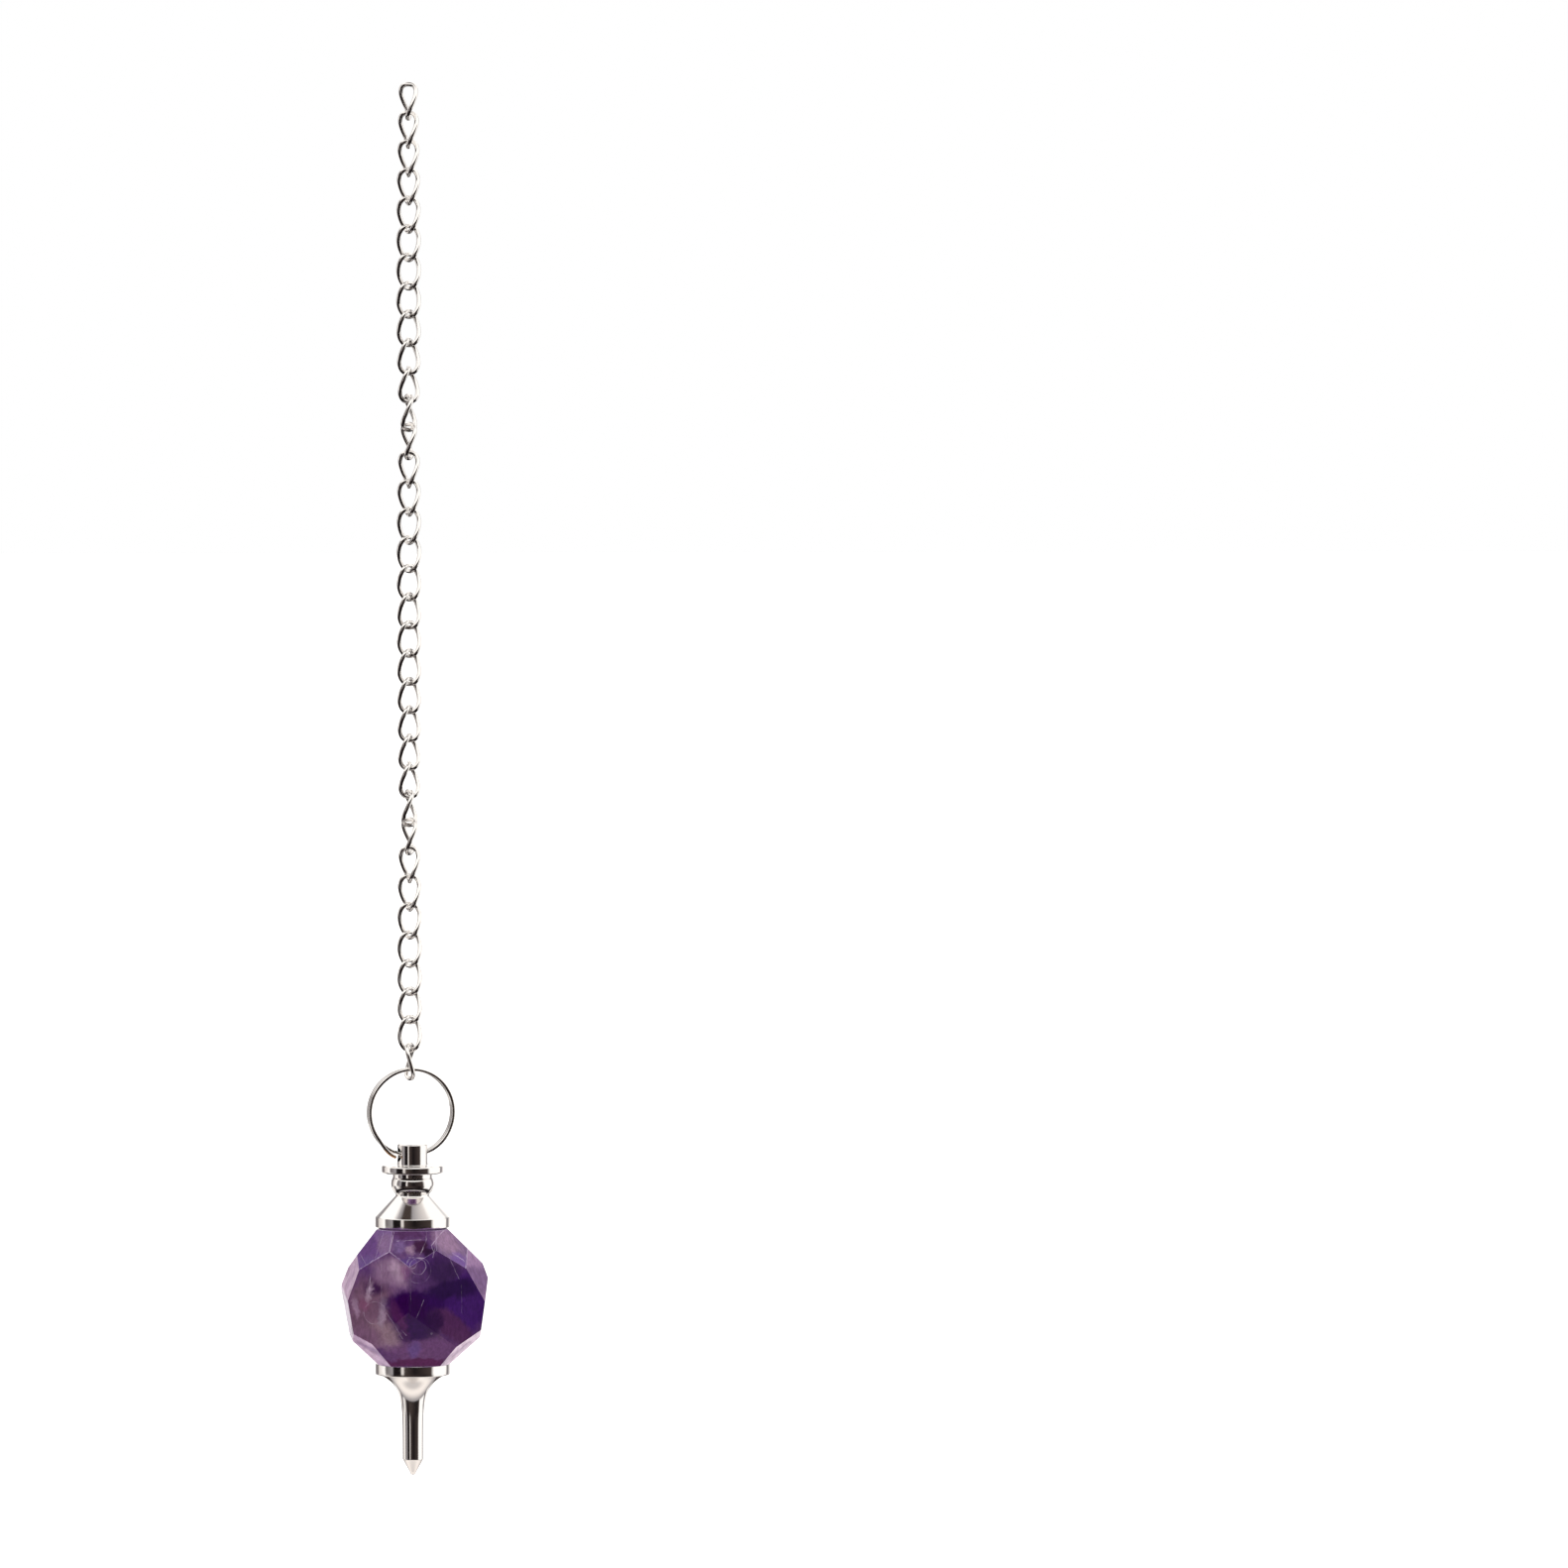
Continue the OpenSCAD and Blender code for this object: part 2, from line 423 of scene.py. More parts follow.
def turned(points: Sequence[tuple[float, float]], sides: int = 144) -> Mesh:
    """Turns a profile about the Z axis into a closed solid.

    Args:
        points: radius and height in millimetres, from the axis round to the axis.
        sides: how many sides the solid has.

    Returns:
        The solid's mesh, in metres, with its faces outwards.
    """
    shape = bmesh.new()
    rings: list[list[bmesh.types.BMVert]] = []
    for r, z in points:
        if r < ON_AXIS:
            rings.append([shape.verts.new((0, 0, z * MM))])
            continue
        turns = [2 * math.pi * k / sides for k in range(sides)]
        rings.append([shape.verts.new((r * MM * math.cos(a), r * MM * math.sin(a), z * MM)) for a in turns])
    for low, high in zip(rings, rings[1:]):
        for k in range(sides):
            n = (k + 1) % sides
            loop = [low[k % len(low)], low[n % len(low)], high[n % len(high)], high[k % len(high)]]
            corners = list(dict.fromkeys(loop))  # on the axis two of them are one
            if len(corners) > 2:
                shape.faces.new(corners)
    bmesh.ops.recalc_face_normals(shape, faces=shape.faces)
    return poured("turned", shape)


def soften(mesh: Mesh, angle: float = 32.0) -> None:
    """Shades a mesh smooth, apart from edges sharper than an angle in degrees."""
    mesh.polygons.foreach_set("use_smooth", [True] * len(mesh.polygons))
    mesh.set_sharp_from_angle(angle=math.radians(angle))


# ---------------------------------------------------------------- finishes


@dataclass(frozen=True)
class Tint:
    """A colour as a screen shows it, each part from 0 to 255."""

    red: float
    green: float
    blue: float

    def linear(self) -> tuple[float, float, float, float]:
        """The colour as light, with full alpha.

        Returns:
            Red, green, blue and alpha, each from 0 to 1.
        """
        shares = [part / 255 for part in (self.red, self.green, self.blue)]
        red, green, blue = (
            share / 12.92 if share <= 0.04045 else ((share + 0.055) / 1.055) ** 2.4 for share in shares
        )
        return red, green, blue, 1.0


@dataclass(frozen=True)
class Plate:
    """Polished silver plate with faint handling marks, or the brass that shows where it is cut."""

    name: str
    tint: Tint
    roughness: float = 0.08
    smudge: float = 0.06
    scratch: float = 0.02
    scratch_depth: float = 0.02

    def dress(self) -> Material:
        """Builds the material.

        Returns:
            The material.
        """
        material, wires, surface = new_material(self.name, {"Metallic": 1.0, "Base Color": self.tint.linear()})
        height = handled(wires, surface, wires.objects(), self.roughness, self.smudge)
        bumped = wires.fed("ShaderNodeBump", {
            "Strength": self.scratch, "Distance": self.scratch_depth * MM, "Height": height,
        })
        wires.feed(surface.inputs["Normal"], bumped)
        return material


@cache
def handling_marks() -> ShaderNodeTree:
    """The shader node group for faint smudges and hairline scratches on a polished surface.

    Returns:
        The group, built once.
    """
    wires, given, result = Wiring.group(
        "Handling marks", "ShaderNodeTree", (("Vector", "Place"), ("Float", "Polish", "Smudge")),
        (("Float", "Roughness", "Height"),),
    )
    smudges = wires.noise(given["Place"], scale=420, detail=3, rough=0.6)
    patch = wires.spread(smudges.outputs[0], low=0.45, high=0.75)
    wires.feed(result["Roughness"], wires.math("MULTIPLY_ADD", patch, given["Smudge"], given["Polish"]))
    stretched = wires.vector("MULTIPLY", given["Place"], (1.0, 1.0, 7.0))
    wires.feed(result["Height"], wires.noise(stretched, scale=1800, rough=0.7, distortion=0.4).outputs[0])
    return wires.tree


def handled(wires: Wiring, surface: Node, place: object, polish: float, smudge: float) -> NodeSocket:
    """Gives a surface its handling marks.

    Args:
        wires: the material's wiring.
        surface: its Principled BSDF.
        place: the coordinates to read.
        polish: the roughness where the surface is clean.
        smudge: how much rougher the smudges are.

    Returns:
        The height of the scratches.
    """
    marks = wires.node("ShaderNodeGroup", node_tree=handling_marks())
    for name, value in (("Place", place), ("Polish", polish), ("Smudge", smudge)):
        wires.feed(marks.inputs[name], value)
    wires.feed(surface.inputs["Roughness"], marks.outputs["Roughness"])
    return marks.outputs["Height"]


class Facets(Enum):
    """The facets that a zone of colour shows through."""

    OTHER = 0
    FRONT = 1
    CROWN = 2


@dataclass(frozen=True)
class Cloud:
    """A soft oval zone of colour in the stone, placed in millimetres from its middle as the front shows it; partly the
    stone's colour zoning and partly painted light from its inner reflections.
    """

    facets: Facets
    right: float
    up: float
    reach_right: float
    reach_up: float
    turn: float
    tint: Tint
    strength: float
    softness: float


@dataclass(frozen=True)
class Vein:
    """A fine straight line in the stone: a crack, and where it runs along a facet's edge, a painted highlight that
    stands for the edge catching the light.
    """

    right: float
    up: float
    end_right: float
    end_up: float
    width: float
    strength: float


@dataclass(frozen=True)
class Arc:
    """A round inner crack."""

    right: float
    up: float
    radius: float
    width: float
    strength: float


@dataclass(frozen=True)
class Zone:
    """A colour that a noise spreads in patches all through the stone, and more strongly behind."""

    tint: Tint
    start: tuple[float, float, float]
    scale: float
    octaves: float
    rough: float
    warp: float
    low: float
    high: float
    strength: float
    more_behind: float


@cache
def cloud_mask() -> ShaderNodeTree:
    """The shader node group that gives a soft oval zone.

    Returns:
        The group, built once.
    """
    wires, given, result = Wiring.group(
        "Cloud in the stone", "ShaderNodeTree",
        (("Vector", "Place", "Middle", "Reach"), ("Float", "Turn", "Softness", "Strength")), (("Float", "Mask"),),
    )
    away = wires.vector("SUBTRACT", given["Place"], given["Middle"])
    back = wires.math("MULTIPLY", given["Turn"], -1.0)
    turned_back = wires.fed("ShaderNodeVectorRotate", {"Vector": away, "Angle": back}, rotation_type="Z_AXIS")
    distance = wires.vector("LENGTH", wires.vector("DIVIDE", turned_back, given["Reach"]))
    outer = wires.math("ADD", 1.0, given["Softness"])
    inner = wires.math("SUBTRACT", 1.0, given["Softness"])
    wires.feed(result[0], wires.math("MULTIPLY", wires.spread(distance, outer, inner), given["Strength"]))
    return wires.tree


@cache
def vein_mask() -> ShaderNodeTree:
    """The shader node group that gives a fine line between two points.

    Returns:
        The group, built once.
    """
    wires, given, result = Wiring.group(
        "Vein in the stone", "ShaderNodeTree",
        (("Vector", "Place", "Start", "End"), ("Float", "Width", "Strength")), (("Float", "Mask"),),
    )
    whole = wires.vector("SUBTRACT", given["End"], given["Start"])
    part = wires.vector("SUBTRACT", given["Place"], given["Start"])
    share = wires.math("DIVIDE", wires.vector("DOT_PRODUCT", part, whole), wires.vector("DOT_PRODUCT", whole, whole))
    share = wires.math("MINIMUM", wires.math("MAXIMUM", share, 0.0), 1.0)
    distance = wires.vector("DISTANCE", part, wires.vector("MULTIPLY", whole, wires.point(share, share, share)))
    line = wires.spread(distance, given["Width"], wires.math("MULTIPLY", given["Width"], CRACK_CORE))
    wires.feed(result[0], wires.math("MULTIPLY", line, given["Strength"]))
    return wires.tree


@dataclass(frozen=True)
class Amethyst:
    """Cloudy amethyst: dark violet zones, brownish mauve haze and pale cracks near the surface, with painted light:
    bright and dark zones for the stone's inner reflections, and painted highlights along the facets' edges.

    Each drift is a noise's scale per millimetre and how far it shifts a place, in millimetres.
    """

    name: str = "cloudy amethyst"
    roughness: float = 0.05
    refraction: float = 1.545
    clearness: float = 0.08
    gloss: float = 0.06
    smudge: float = 0.05
    mottling: float = 0.85
    mottling_stretch: tuple[float, float, float] = (1.3, 1.3, 0.6)
    lean: float = 5.5
    front_depth: float = 1.5
    wide_drift: tuple[float, float] = (0.55, 1.5)
    fine_drift: tuple[float, float] = (2.2, 0.5)
    line_drift: tuple[float, float] = (1.6, 0.22)
    crack_drift: tuple[float, float] = (0.4, 0.5)
    crack_scale: float = 0.11
    crack_strength: float = 0.3
    # pale lilac for the cracks, and for the painted highlights that some veins lay along facets' edges
    crack_and_glint: Tint = Tint(214, 196, 220)
    # the painted highlight's colour: pale lilac on the facets' rounded edges, as if they caught the light
    edge_glint: Tint = Tint(190, 168, 204)
    zones: tuple[Zone, ...] = (
        Zone(Tint(58, 24, 92), (0.0, 0.0, 0.0), 0.16, 2, 0.5, 0.3, 0.5, 0.68, 0.5, 0.4),
        Zone(Tint(126, 96, 132), (31.0, 7.0, 3.0), 0.22, 3, 0.6, 0.3, 0.52, 0.7, 0.45, 0.35),
        Zone(Tint(112, 82, 104), (5.0, 41.0, 17.0), 0.3, 4, 0.6, 0.2, 0.5, 0.74, 0.4, 0.4),
    )
    # partly the stone's colour zoning and partly painted light: bright and dark zones for its inner reflections, and
    # the wine-coloured band at the bottom, (0.3, -9.3), where light shines through the thin edge
    clouds_and_inner_light: tuple[Cloud, ...] = (
        Cloud(Facets.FRONT, -5.7, -2.3, 3.33, 4.53, 0, Tint(97, 69, 88), 0.9, 0.35),
        Cloud(Facets.FRONT, -3.5, -5.5, 2.4, 1.47, -30, Tint(122, 97, 108), 0.78, 0.5),
        Cloud(Facets.FRONT, -5.9, -5.7, 2.0, 1.2, -25, Tint(98, 68, 94), 0.8, 0.5),
        Cloud(Facets.FRONT, -6.5, -1.3, 0.8, 0.67, 0, Tint(106, 62, 90), 0.7, 0.6),
        Cloud(Facets.FRONT, -5.3, 0.8, 1.1, 0.9, 0, Tint(46, 14, 58), 0.9, 0.7),
        Cloud(Facets.FRONT, -5.8, 0.3, 0.32, 1.2, -8, Tint(168, 142, 164), 0.5, 0.6),
        Cloud(Facets.FRONT, -7.7, -1.7, 0.4, 1.33, 12, Tint(150, 122, 150), 0.5, 0.6),
        Cloud(Facets.FRONT, -4.1, -2.8, 0.53, 1.87, 4, Tint(150, 130, 152), 0.5, 0.6),
        Cloud(Facets.FRONT, -2.2, 2.9, 2.93, 1.87, -12, Tint(124, 96, 122), 0.8, 0.4),
        Cloud(Facets.FRONT, -2.1, 3.2, 0.8, 1.2, 22, Tint(158, 132, 154), 0.65, 0.6),
        Cloud(Facets.FRONT, -1.1, 2.8, 0.67, 0.93, 10, Tint(114, 66, 106), 0.6, 0.5),
        Cloud(Facets.FRONT, 0.9, 2.1, 1.87, 1.6, 0, Tint(72, 44, 88), 0.85, 0.5),
        Cloud(Facets.FRONT, 4.2, 3.1, 2.27, 1.87, -20, Tint(46, 24, 64), 0.92, 0.4),
        Cloud(Facets.FRONT, 1.4, -1.1, 5.33, 1.47, 2, Tint(38, 4, 66), 0.97, 0.3),
        Cloud(Facets.FRONT, -0.3, -3.1, 2.67, 3.33, 8, Tint(38, 4, 56), 0.98, 0.3),
        Cloud(Facets.FRONT, 0.6, -5.1, 1.87, 1.73, 0, Tint(40, 12, 60), 0.95, 0.4),
        Cloud(Facets.FRONT, -1.9, -3.1, 0.67, 2.53, 22, Tint(72, 30, 72), 0.7, 0.6),
        Cloud(Facets.FRONT, 7.3, -1.2, 2.93, 4.0, -10, Tint(52, 18, 84), 0.97, 0.25),
        Cloud(Facets.FRONT, 5.3, 0.7, 3.47, 1.2, 8, Tint(34, 12, 56), 0.95, 0.35),
        Cloud(Facets.FRONT, 5.3, -4.4, 3.33, 1.5, -43, Tint(68, 33, 71), 0.92, 0.25),
        Cloud(Facets.FRONT, 2.9, -3.9, 1.2, 1.87, 0, Tint(38, 12, 54), 0.9, 0.5),
        Cloud(Facets.FRONT, 1.9, -7.6, 5.07, 1.47, 0, Tint(86, 52, 92), 0.9, 0.3),
        Cloud(Facets.FRONT, 0.2, -7.5, 0.8, 1.07, 0, Tint(80, 62, 120), 0.5, 0.6),
        Cloud(Facets.FRONT, 0.3, -9.3, 5.07, 0.6, 0, Tint(70, 24, 64), 0.95, 0.3),
        Cloud(Facets.CROWN, -0.3, 8.1, 2.27, 0.53, 0, Tint(80, 46, 88), 0.9, 0.4),
        Cloud(Facets.CROWN, -1.8, 6.4, 0.93, 0.93, 0, Tint(116, 90, 138), 0.85, 0.5),
        Cloud(Facets.CROWN, -0.3, 5.9, 0.67, 0.67, 0, Tint(164, 134, 158), 0.7, 0.6),
        Cloud(Facets.CROWN, 1.1, 6.4, 1.07, 0.93, 0, Tint(54, 20, 52), 0.9, 0.4),
        Cloud(Facets.CROWN, 2.1, 5.6, 0.67, 0.53, 0, Tint(36, 11, 42), 0.9, 0.5),
        Cloud(Facets.CROWN, -0.5, 4.3, 1.07, 0.67, 0, Tint(84, 60, 128), 0.6, 0.6),
        Cloud(Facets.CROWN, -6.1, 6.4, 1.73, 1.6, 40, Tint(88, 50, 112), 0.92, 0.3),
        Cloud(Facets.CROWN, -3.7, 6.5, 0.93, 1.6, 0, Tint(124, 94, 130), 0.8, 0.6),
        Cloud(Facets.CROWN, -6.3, 4.3, 1.2, 0.67, 25, Tint(92, 64, 122), 0.7, 0.6),
        Cloud(Facets.CROWN, 4.6, 6.9, 2.13, 1.33, -42, Tint(155, 122, 154), 0.85, 0.5),
        Cloud(Facets.CROWN, 6.3, 4.4, 1.2, 0.93, -30, Tint(118, 84, 156), 0.85, 0.5),
    )
    # cracks, and painted highlights: the first three veins and the one from (7.4, 6.1) run along facets' edges as
    # glints
    cracks_and_edge_glints: tuple[Vein, ...] = (
        Vein(-2.5, 8.4, -3.1, 5.7, 0.088, 0.48),
        Vein(-3.1, 5.7, -5.3, 4.5, 0.088, 0.48),
        Vein(-5.3, 4.5, -7.3, 3.2, 0.088, 0.48),
        Vein(-7.3, 3.2, -7.7, 2.0, 0.072, 0.36),
        Vein(-3.1, 5.7, -1.8, 4.7, 0.072, 0.36),
        Vein(7.4, 6.1, 7.1, 3.5, 0.104, 0.6),
        Vein(-1.8, 4.7, -0.3, 3.5, 0.056, 0.24),
        Vein(-2.1, 7.1, 1.7, 7.3, 0.056, 0.36),
        Vein(1.9, 8.5, 1.8, 7.1, 0.096, 0.48),
        Vein(1.8, 7.1, 1.0, 5.3, 0.088, 0.48),
        Vein(-0.5, 4.9, 1.5, 4.8, 0.088, 0.54),
        Vein(4.1, 8.5, 2.5, 6.5, 0.088, 0.51),
        Vein(2.5, 6.5, 2.9, 5.5, 0.064, 0.36),
        Vein(5.3, 5.5, 7.0, 4.4, 0.088, 0.48),
        Vein(4.9, 4.9, 6.2, 2.0, 0.056, 0.2),
        Vein(6.5, 1.2, 6.6, -2.7, 0.04, 0.1),
        Vein(1.5, -0.8, 0.5, -3.2, 0.056, 0.2),
        Vein(-4.2, 4.7, -4.2, -2.7, 0.056, 0.15),
        Vein(-2.3, -4.3, -1.4, -6.0, 0.064, 0.15),
        Vein(-5.7, 2.7, -5.8, -0.4, 0.072, 0.3),
        Vein(-1.5, -4.8, -0.9, -5.5, 0.096, 0.24),
        Vein(-3.9, 8.3, -5.0, 4.9, 0.056, 0.24),
        Vein(-7.1, 5.5, -6.3, 4.0, 0.056, 0.24),
        Vein(-0.3, 3.5, -0.3, -2.3, 0.04, 0.12),
        Vein(3.3, 7.9, 2.7, 4.9, 0.064, 0.3),
        Vein(-3.7, -2.3, -2.3, -4.3, 0.056, 0.14),
    )
    arcs: tuple[Arc, ...] = (
        Arc(0.7, 3.7, 1.07, 0.08, 0.27),
        Arc(0.7, 3.2, 1.73, 0.07, 0.12),
        Arc(-5.1, -2.5, 1.47, 0.08, 0.12),
        Arc(2.5, -5.3, 0.08, 0.12, 0.54),
        Arc(-0.1, 4.1, 0.67, 0.08, 0.3),
    )

    def dress(self, middle: Vector) -> Material:
        """Builds the material.

        Args:
            middle: the stone's middle, in millimetres.

        Returns:
            The material.
        """
        material, wires, surface = new_material(self.name, {
            "IOR": self.refraction, "Transmission Weight": self.clearness, "Specular IOR Level": self.gloss,
        })
        objects = wires.objects()
        place = wires.vector("MULTIPLY_ADD", objects, (1 / MM, 1 / MM, 1 / MM), tuple(-middle))
        lean = math.radians(self.lean)
        depth = wires.vector("DOT_PRODUCT", place, (0.0, math.cos(lean), -math.sin(lean)))
        front = wires.point(wires.vector("DOT_PRODUCT", place, (1.0, 0.0, 0.0)),
                            wires.vector("DOT_PRODUCT", place, (0.0, math.sin(lean), math.cos(lean))), depth)
        facing = wires.spread(depth, self.front_depth, -self.front_depth)
        behind = wires.math("SUBTRACT", 1.0, facing)
        soft_place = self.drifted(wires, self.drifted(wires, front, *self.wide_drift), *self.fine_drift)
        line_place = self.drifted(wires, front, *self.line_drift)
        colour = self.clouded(wires, self.body_colour(wires, place, behind), soft_place)
        colour = self.mottled(wires, colour, place, behind)
        lines = self.line_mask(wires, wires.vector("MULTIPLY", line_place, (1.0, 1.0, 0.0)))
        # cracks, and painted highlights along some facets' edges, in pale lilac on the front
        colour = wires.mix(wires.math("MULTIPLY", lines, facing), colour, self.crack_and_glint.linear())
        # painted highlight: the rounded edges between facets are painted pale, more where they face up
        colour = wires.mix(wires.attribute("edge_glint", "Fac"), colour, self.edge_glint.linear())
        wires.feed(surface.inputs["Base Color"], colour)
        handled(wires, surface, objects, self.roughness, self.smudge)
        return material

    def clouded(self, wires: Wiring, colour: object, place: object) -> NodeSocket:
        """Lays the clouds over a colour, each through its own row of facets; they are partly colour zoning and partly
        painted light.

        Args:
            wires: the material's wiring.
            colour: the colour.
            place: the place as the front shows it, in millimetres.

        Returns:
            The clouded colour.
        """
        row = wires.attribute("row", "Fac")
        shown = {kind: wires.math("COMPARE", row, float(kind.value), ROW_MARGIN)
                 for kind in (Facets.FRONT, Facets.CROWN)}
        flat = wires.vector("MULTIPLY", place, (1.0, 1.0, 0.0))
        for cloud in self.clouds_and_inner_light:
            oval = wires.fed("ShaderNodeGroup", {
                "Place": flat, "Middle": (cloud.right, cloud.up, 0.0),
                "Reach": (cloud.reach_right, cloud.reach_up, 1.0), "Turn": math.radians(cloud.turn),
                "Softness": cloud.softness, "Strength": cloud.strength,
            }, node_tree=cloud_mask())
            colour = wires.mix(wires.math("MULTIPLY", oval, shown[cloud.facets]), colour, cloud.tint.linear())
        return colour

    @staticmethod
    def drifted(wires: Wiring, place: object, scale: float, reach: float) -> NodeSocket:
        """Shifts a place by a noise, so that what is read there gets wavy edges.

        Args:
            wires: the material's wiring.
            place: the place, in millimetres.
            scale: the noise's scale per millimetre.
            reach: how far it shifts, in millimetres.

        Returns:
            The shifted place.
        """
        waves = wires.noise(place, scale, rough=0.55)
        centred = wires.vector("SUBTRACT", waves.outputs["Color"], (0.5, 0.5, 0.5))
        return wires.vector("MULTIPLY_ADD", centred, (reach, reach, reach), place)

    def body_colour(self, wires: Wiring, place: object, behind: object) -> NodeSocket:
        """The stone's colour all through: each facet's tint, partly painted reflection in the pale side facets, with
        zones of dark violet, haze and smoke.

        Args:
            wires: the material's wiring.
            place: the place from the stone's middle, in millimetres.
            behind: 1 on the sides and back, and 0 on the front.

        Returns:
            The colour.
        """
        # each facet's tint: the stone's colour, and in the pale side facets a painted reflection of the bright room
        colour = wires.attribute("tint", "Color")
        for zone in self.zones:
            moved = wires.vector("ADD", place, zone.start)
            cells = wires.noise(moved, zone.scale, zone.octaves, zone.rough, zone.warp)
            share = wires.math("MULTIPLY_ADD", behind, zone.more_behind, zone.strength)
            shown = wires.spread(cells.outputs[0], zone.low, zone.high, 0.0, share)
            colour = wires.mix(shown, colour, zone.tint.linear())
        return colour

    def mottled(self, wires: Wiring, colour: object, place: object, behind: object) -> NodeSocket:
        """Breaks a colour up with fine upright mottling, and with faint cracks on the sides and back.

        Args:
            wires: the material's wiring.
            colour: the colour.
            place: the place from the stone's middle, in millimetres.
            behind: 1 on the sides and back, and 0 on the front.

        Returns:
            The broken-up colour.
        """
        upright = wires.vector("MULTIPLY", place, self.mottling_stretch)
        fine = wires.noise(upright, scale=1.5, detail=5, rough=0.65, distortion=0.6)
        light = wires.spread(fine.outputs[0], low=0.3, high=0.72, to_low=0.72, to_high=1.32, smooth=False)
        grey = wires.fed("ShaderNodeCombineColor", {"Red": light, "Green": light, "Blue": light})
        colour = wires.mix(self.mottling, colour, grey, "MULTIPLY")
        wavy = self.drifted(wires, place, *self.crack_drift)
        edges = wires.fed("ShaderNodeTexVoronoi", {"Vector": wavy, "Scale": self.crack_scale},
                          feature="DISTANCE_TO_EDGE")
        thin = wires.math("MULTIPLY", wires.spread(edges, low=0.009, high=0.001), behind)
        patches = wires.noise(place, scale=0.3)
        broken = wires.spread(patches.outputs[0], low=0.46, high=0.66, to_high=self.crack_strength)
        return wires.mix(wires.math("MULTIPLY", thin, broken), colour, self.crack_and_glint.linear())

    def line_mask(self, wires: Wiring, place: object) -> NodeSocket:
        """All veins and arcs as one mask: cracks, and painted highlights along some facets' edges.

        Args:
            wires: the material's wiring.
            place: the place as the front shows it, in millimetres.

        Returns:
            The mask.
        """
        mask: object = 0.0
        for vein in self.cracks_and_edge_glints:
            line = wires.fed("ShaderNodeGroup", {
                "Place": place, "Start": (vein.right, vein.up, 0.0), "End": (vein.end_right, vein.end_up, 0.0),
                "Width": vein.width, "Strength": vein.strength,
            }, node_tree=vein_mask())
            mask = wires.math("MAXIMUM", mask, line)
        for arc in self.arcs:
            distance = wires.vector("DISTANCE", place, (arc.right, arc.up, 0.0))
            off = wires.math("ABSOLUTE", wires.math("SUBTRACT", distance, arc.radius))
            line = wires.spread(off, arc.width, arc.width * CRACK_CORE, to_high=arc.strength)
            mask = wires.math("MAXIMUM", mask, line)
        breaks = wires.noise(place, scale=0.9, detail=3, rough=0.6)
        gaps = wires.spread(breaks.outputs[0], low=0.4, high=0.6, to_low=0.15)
        return wires.math("MULTIPLY", mask, gaps)


# ---------------------------------------------------------------- the pendant's pieces


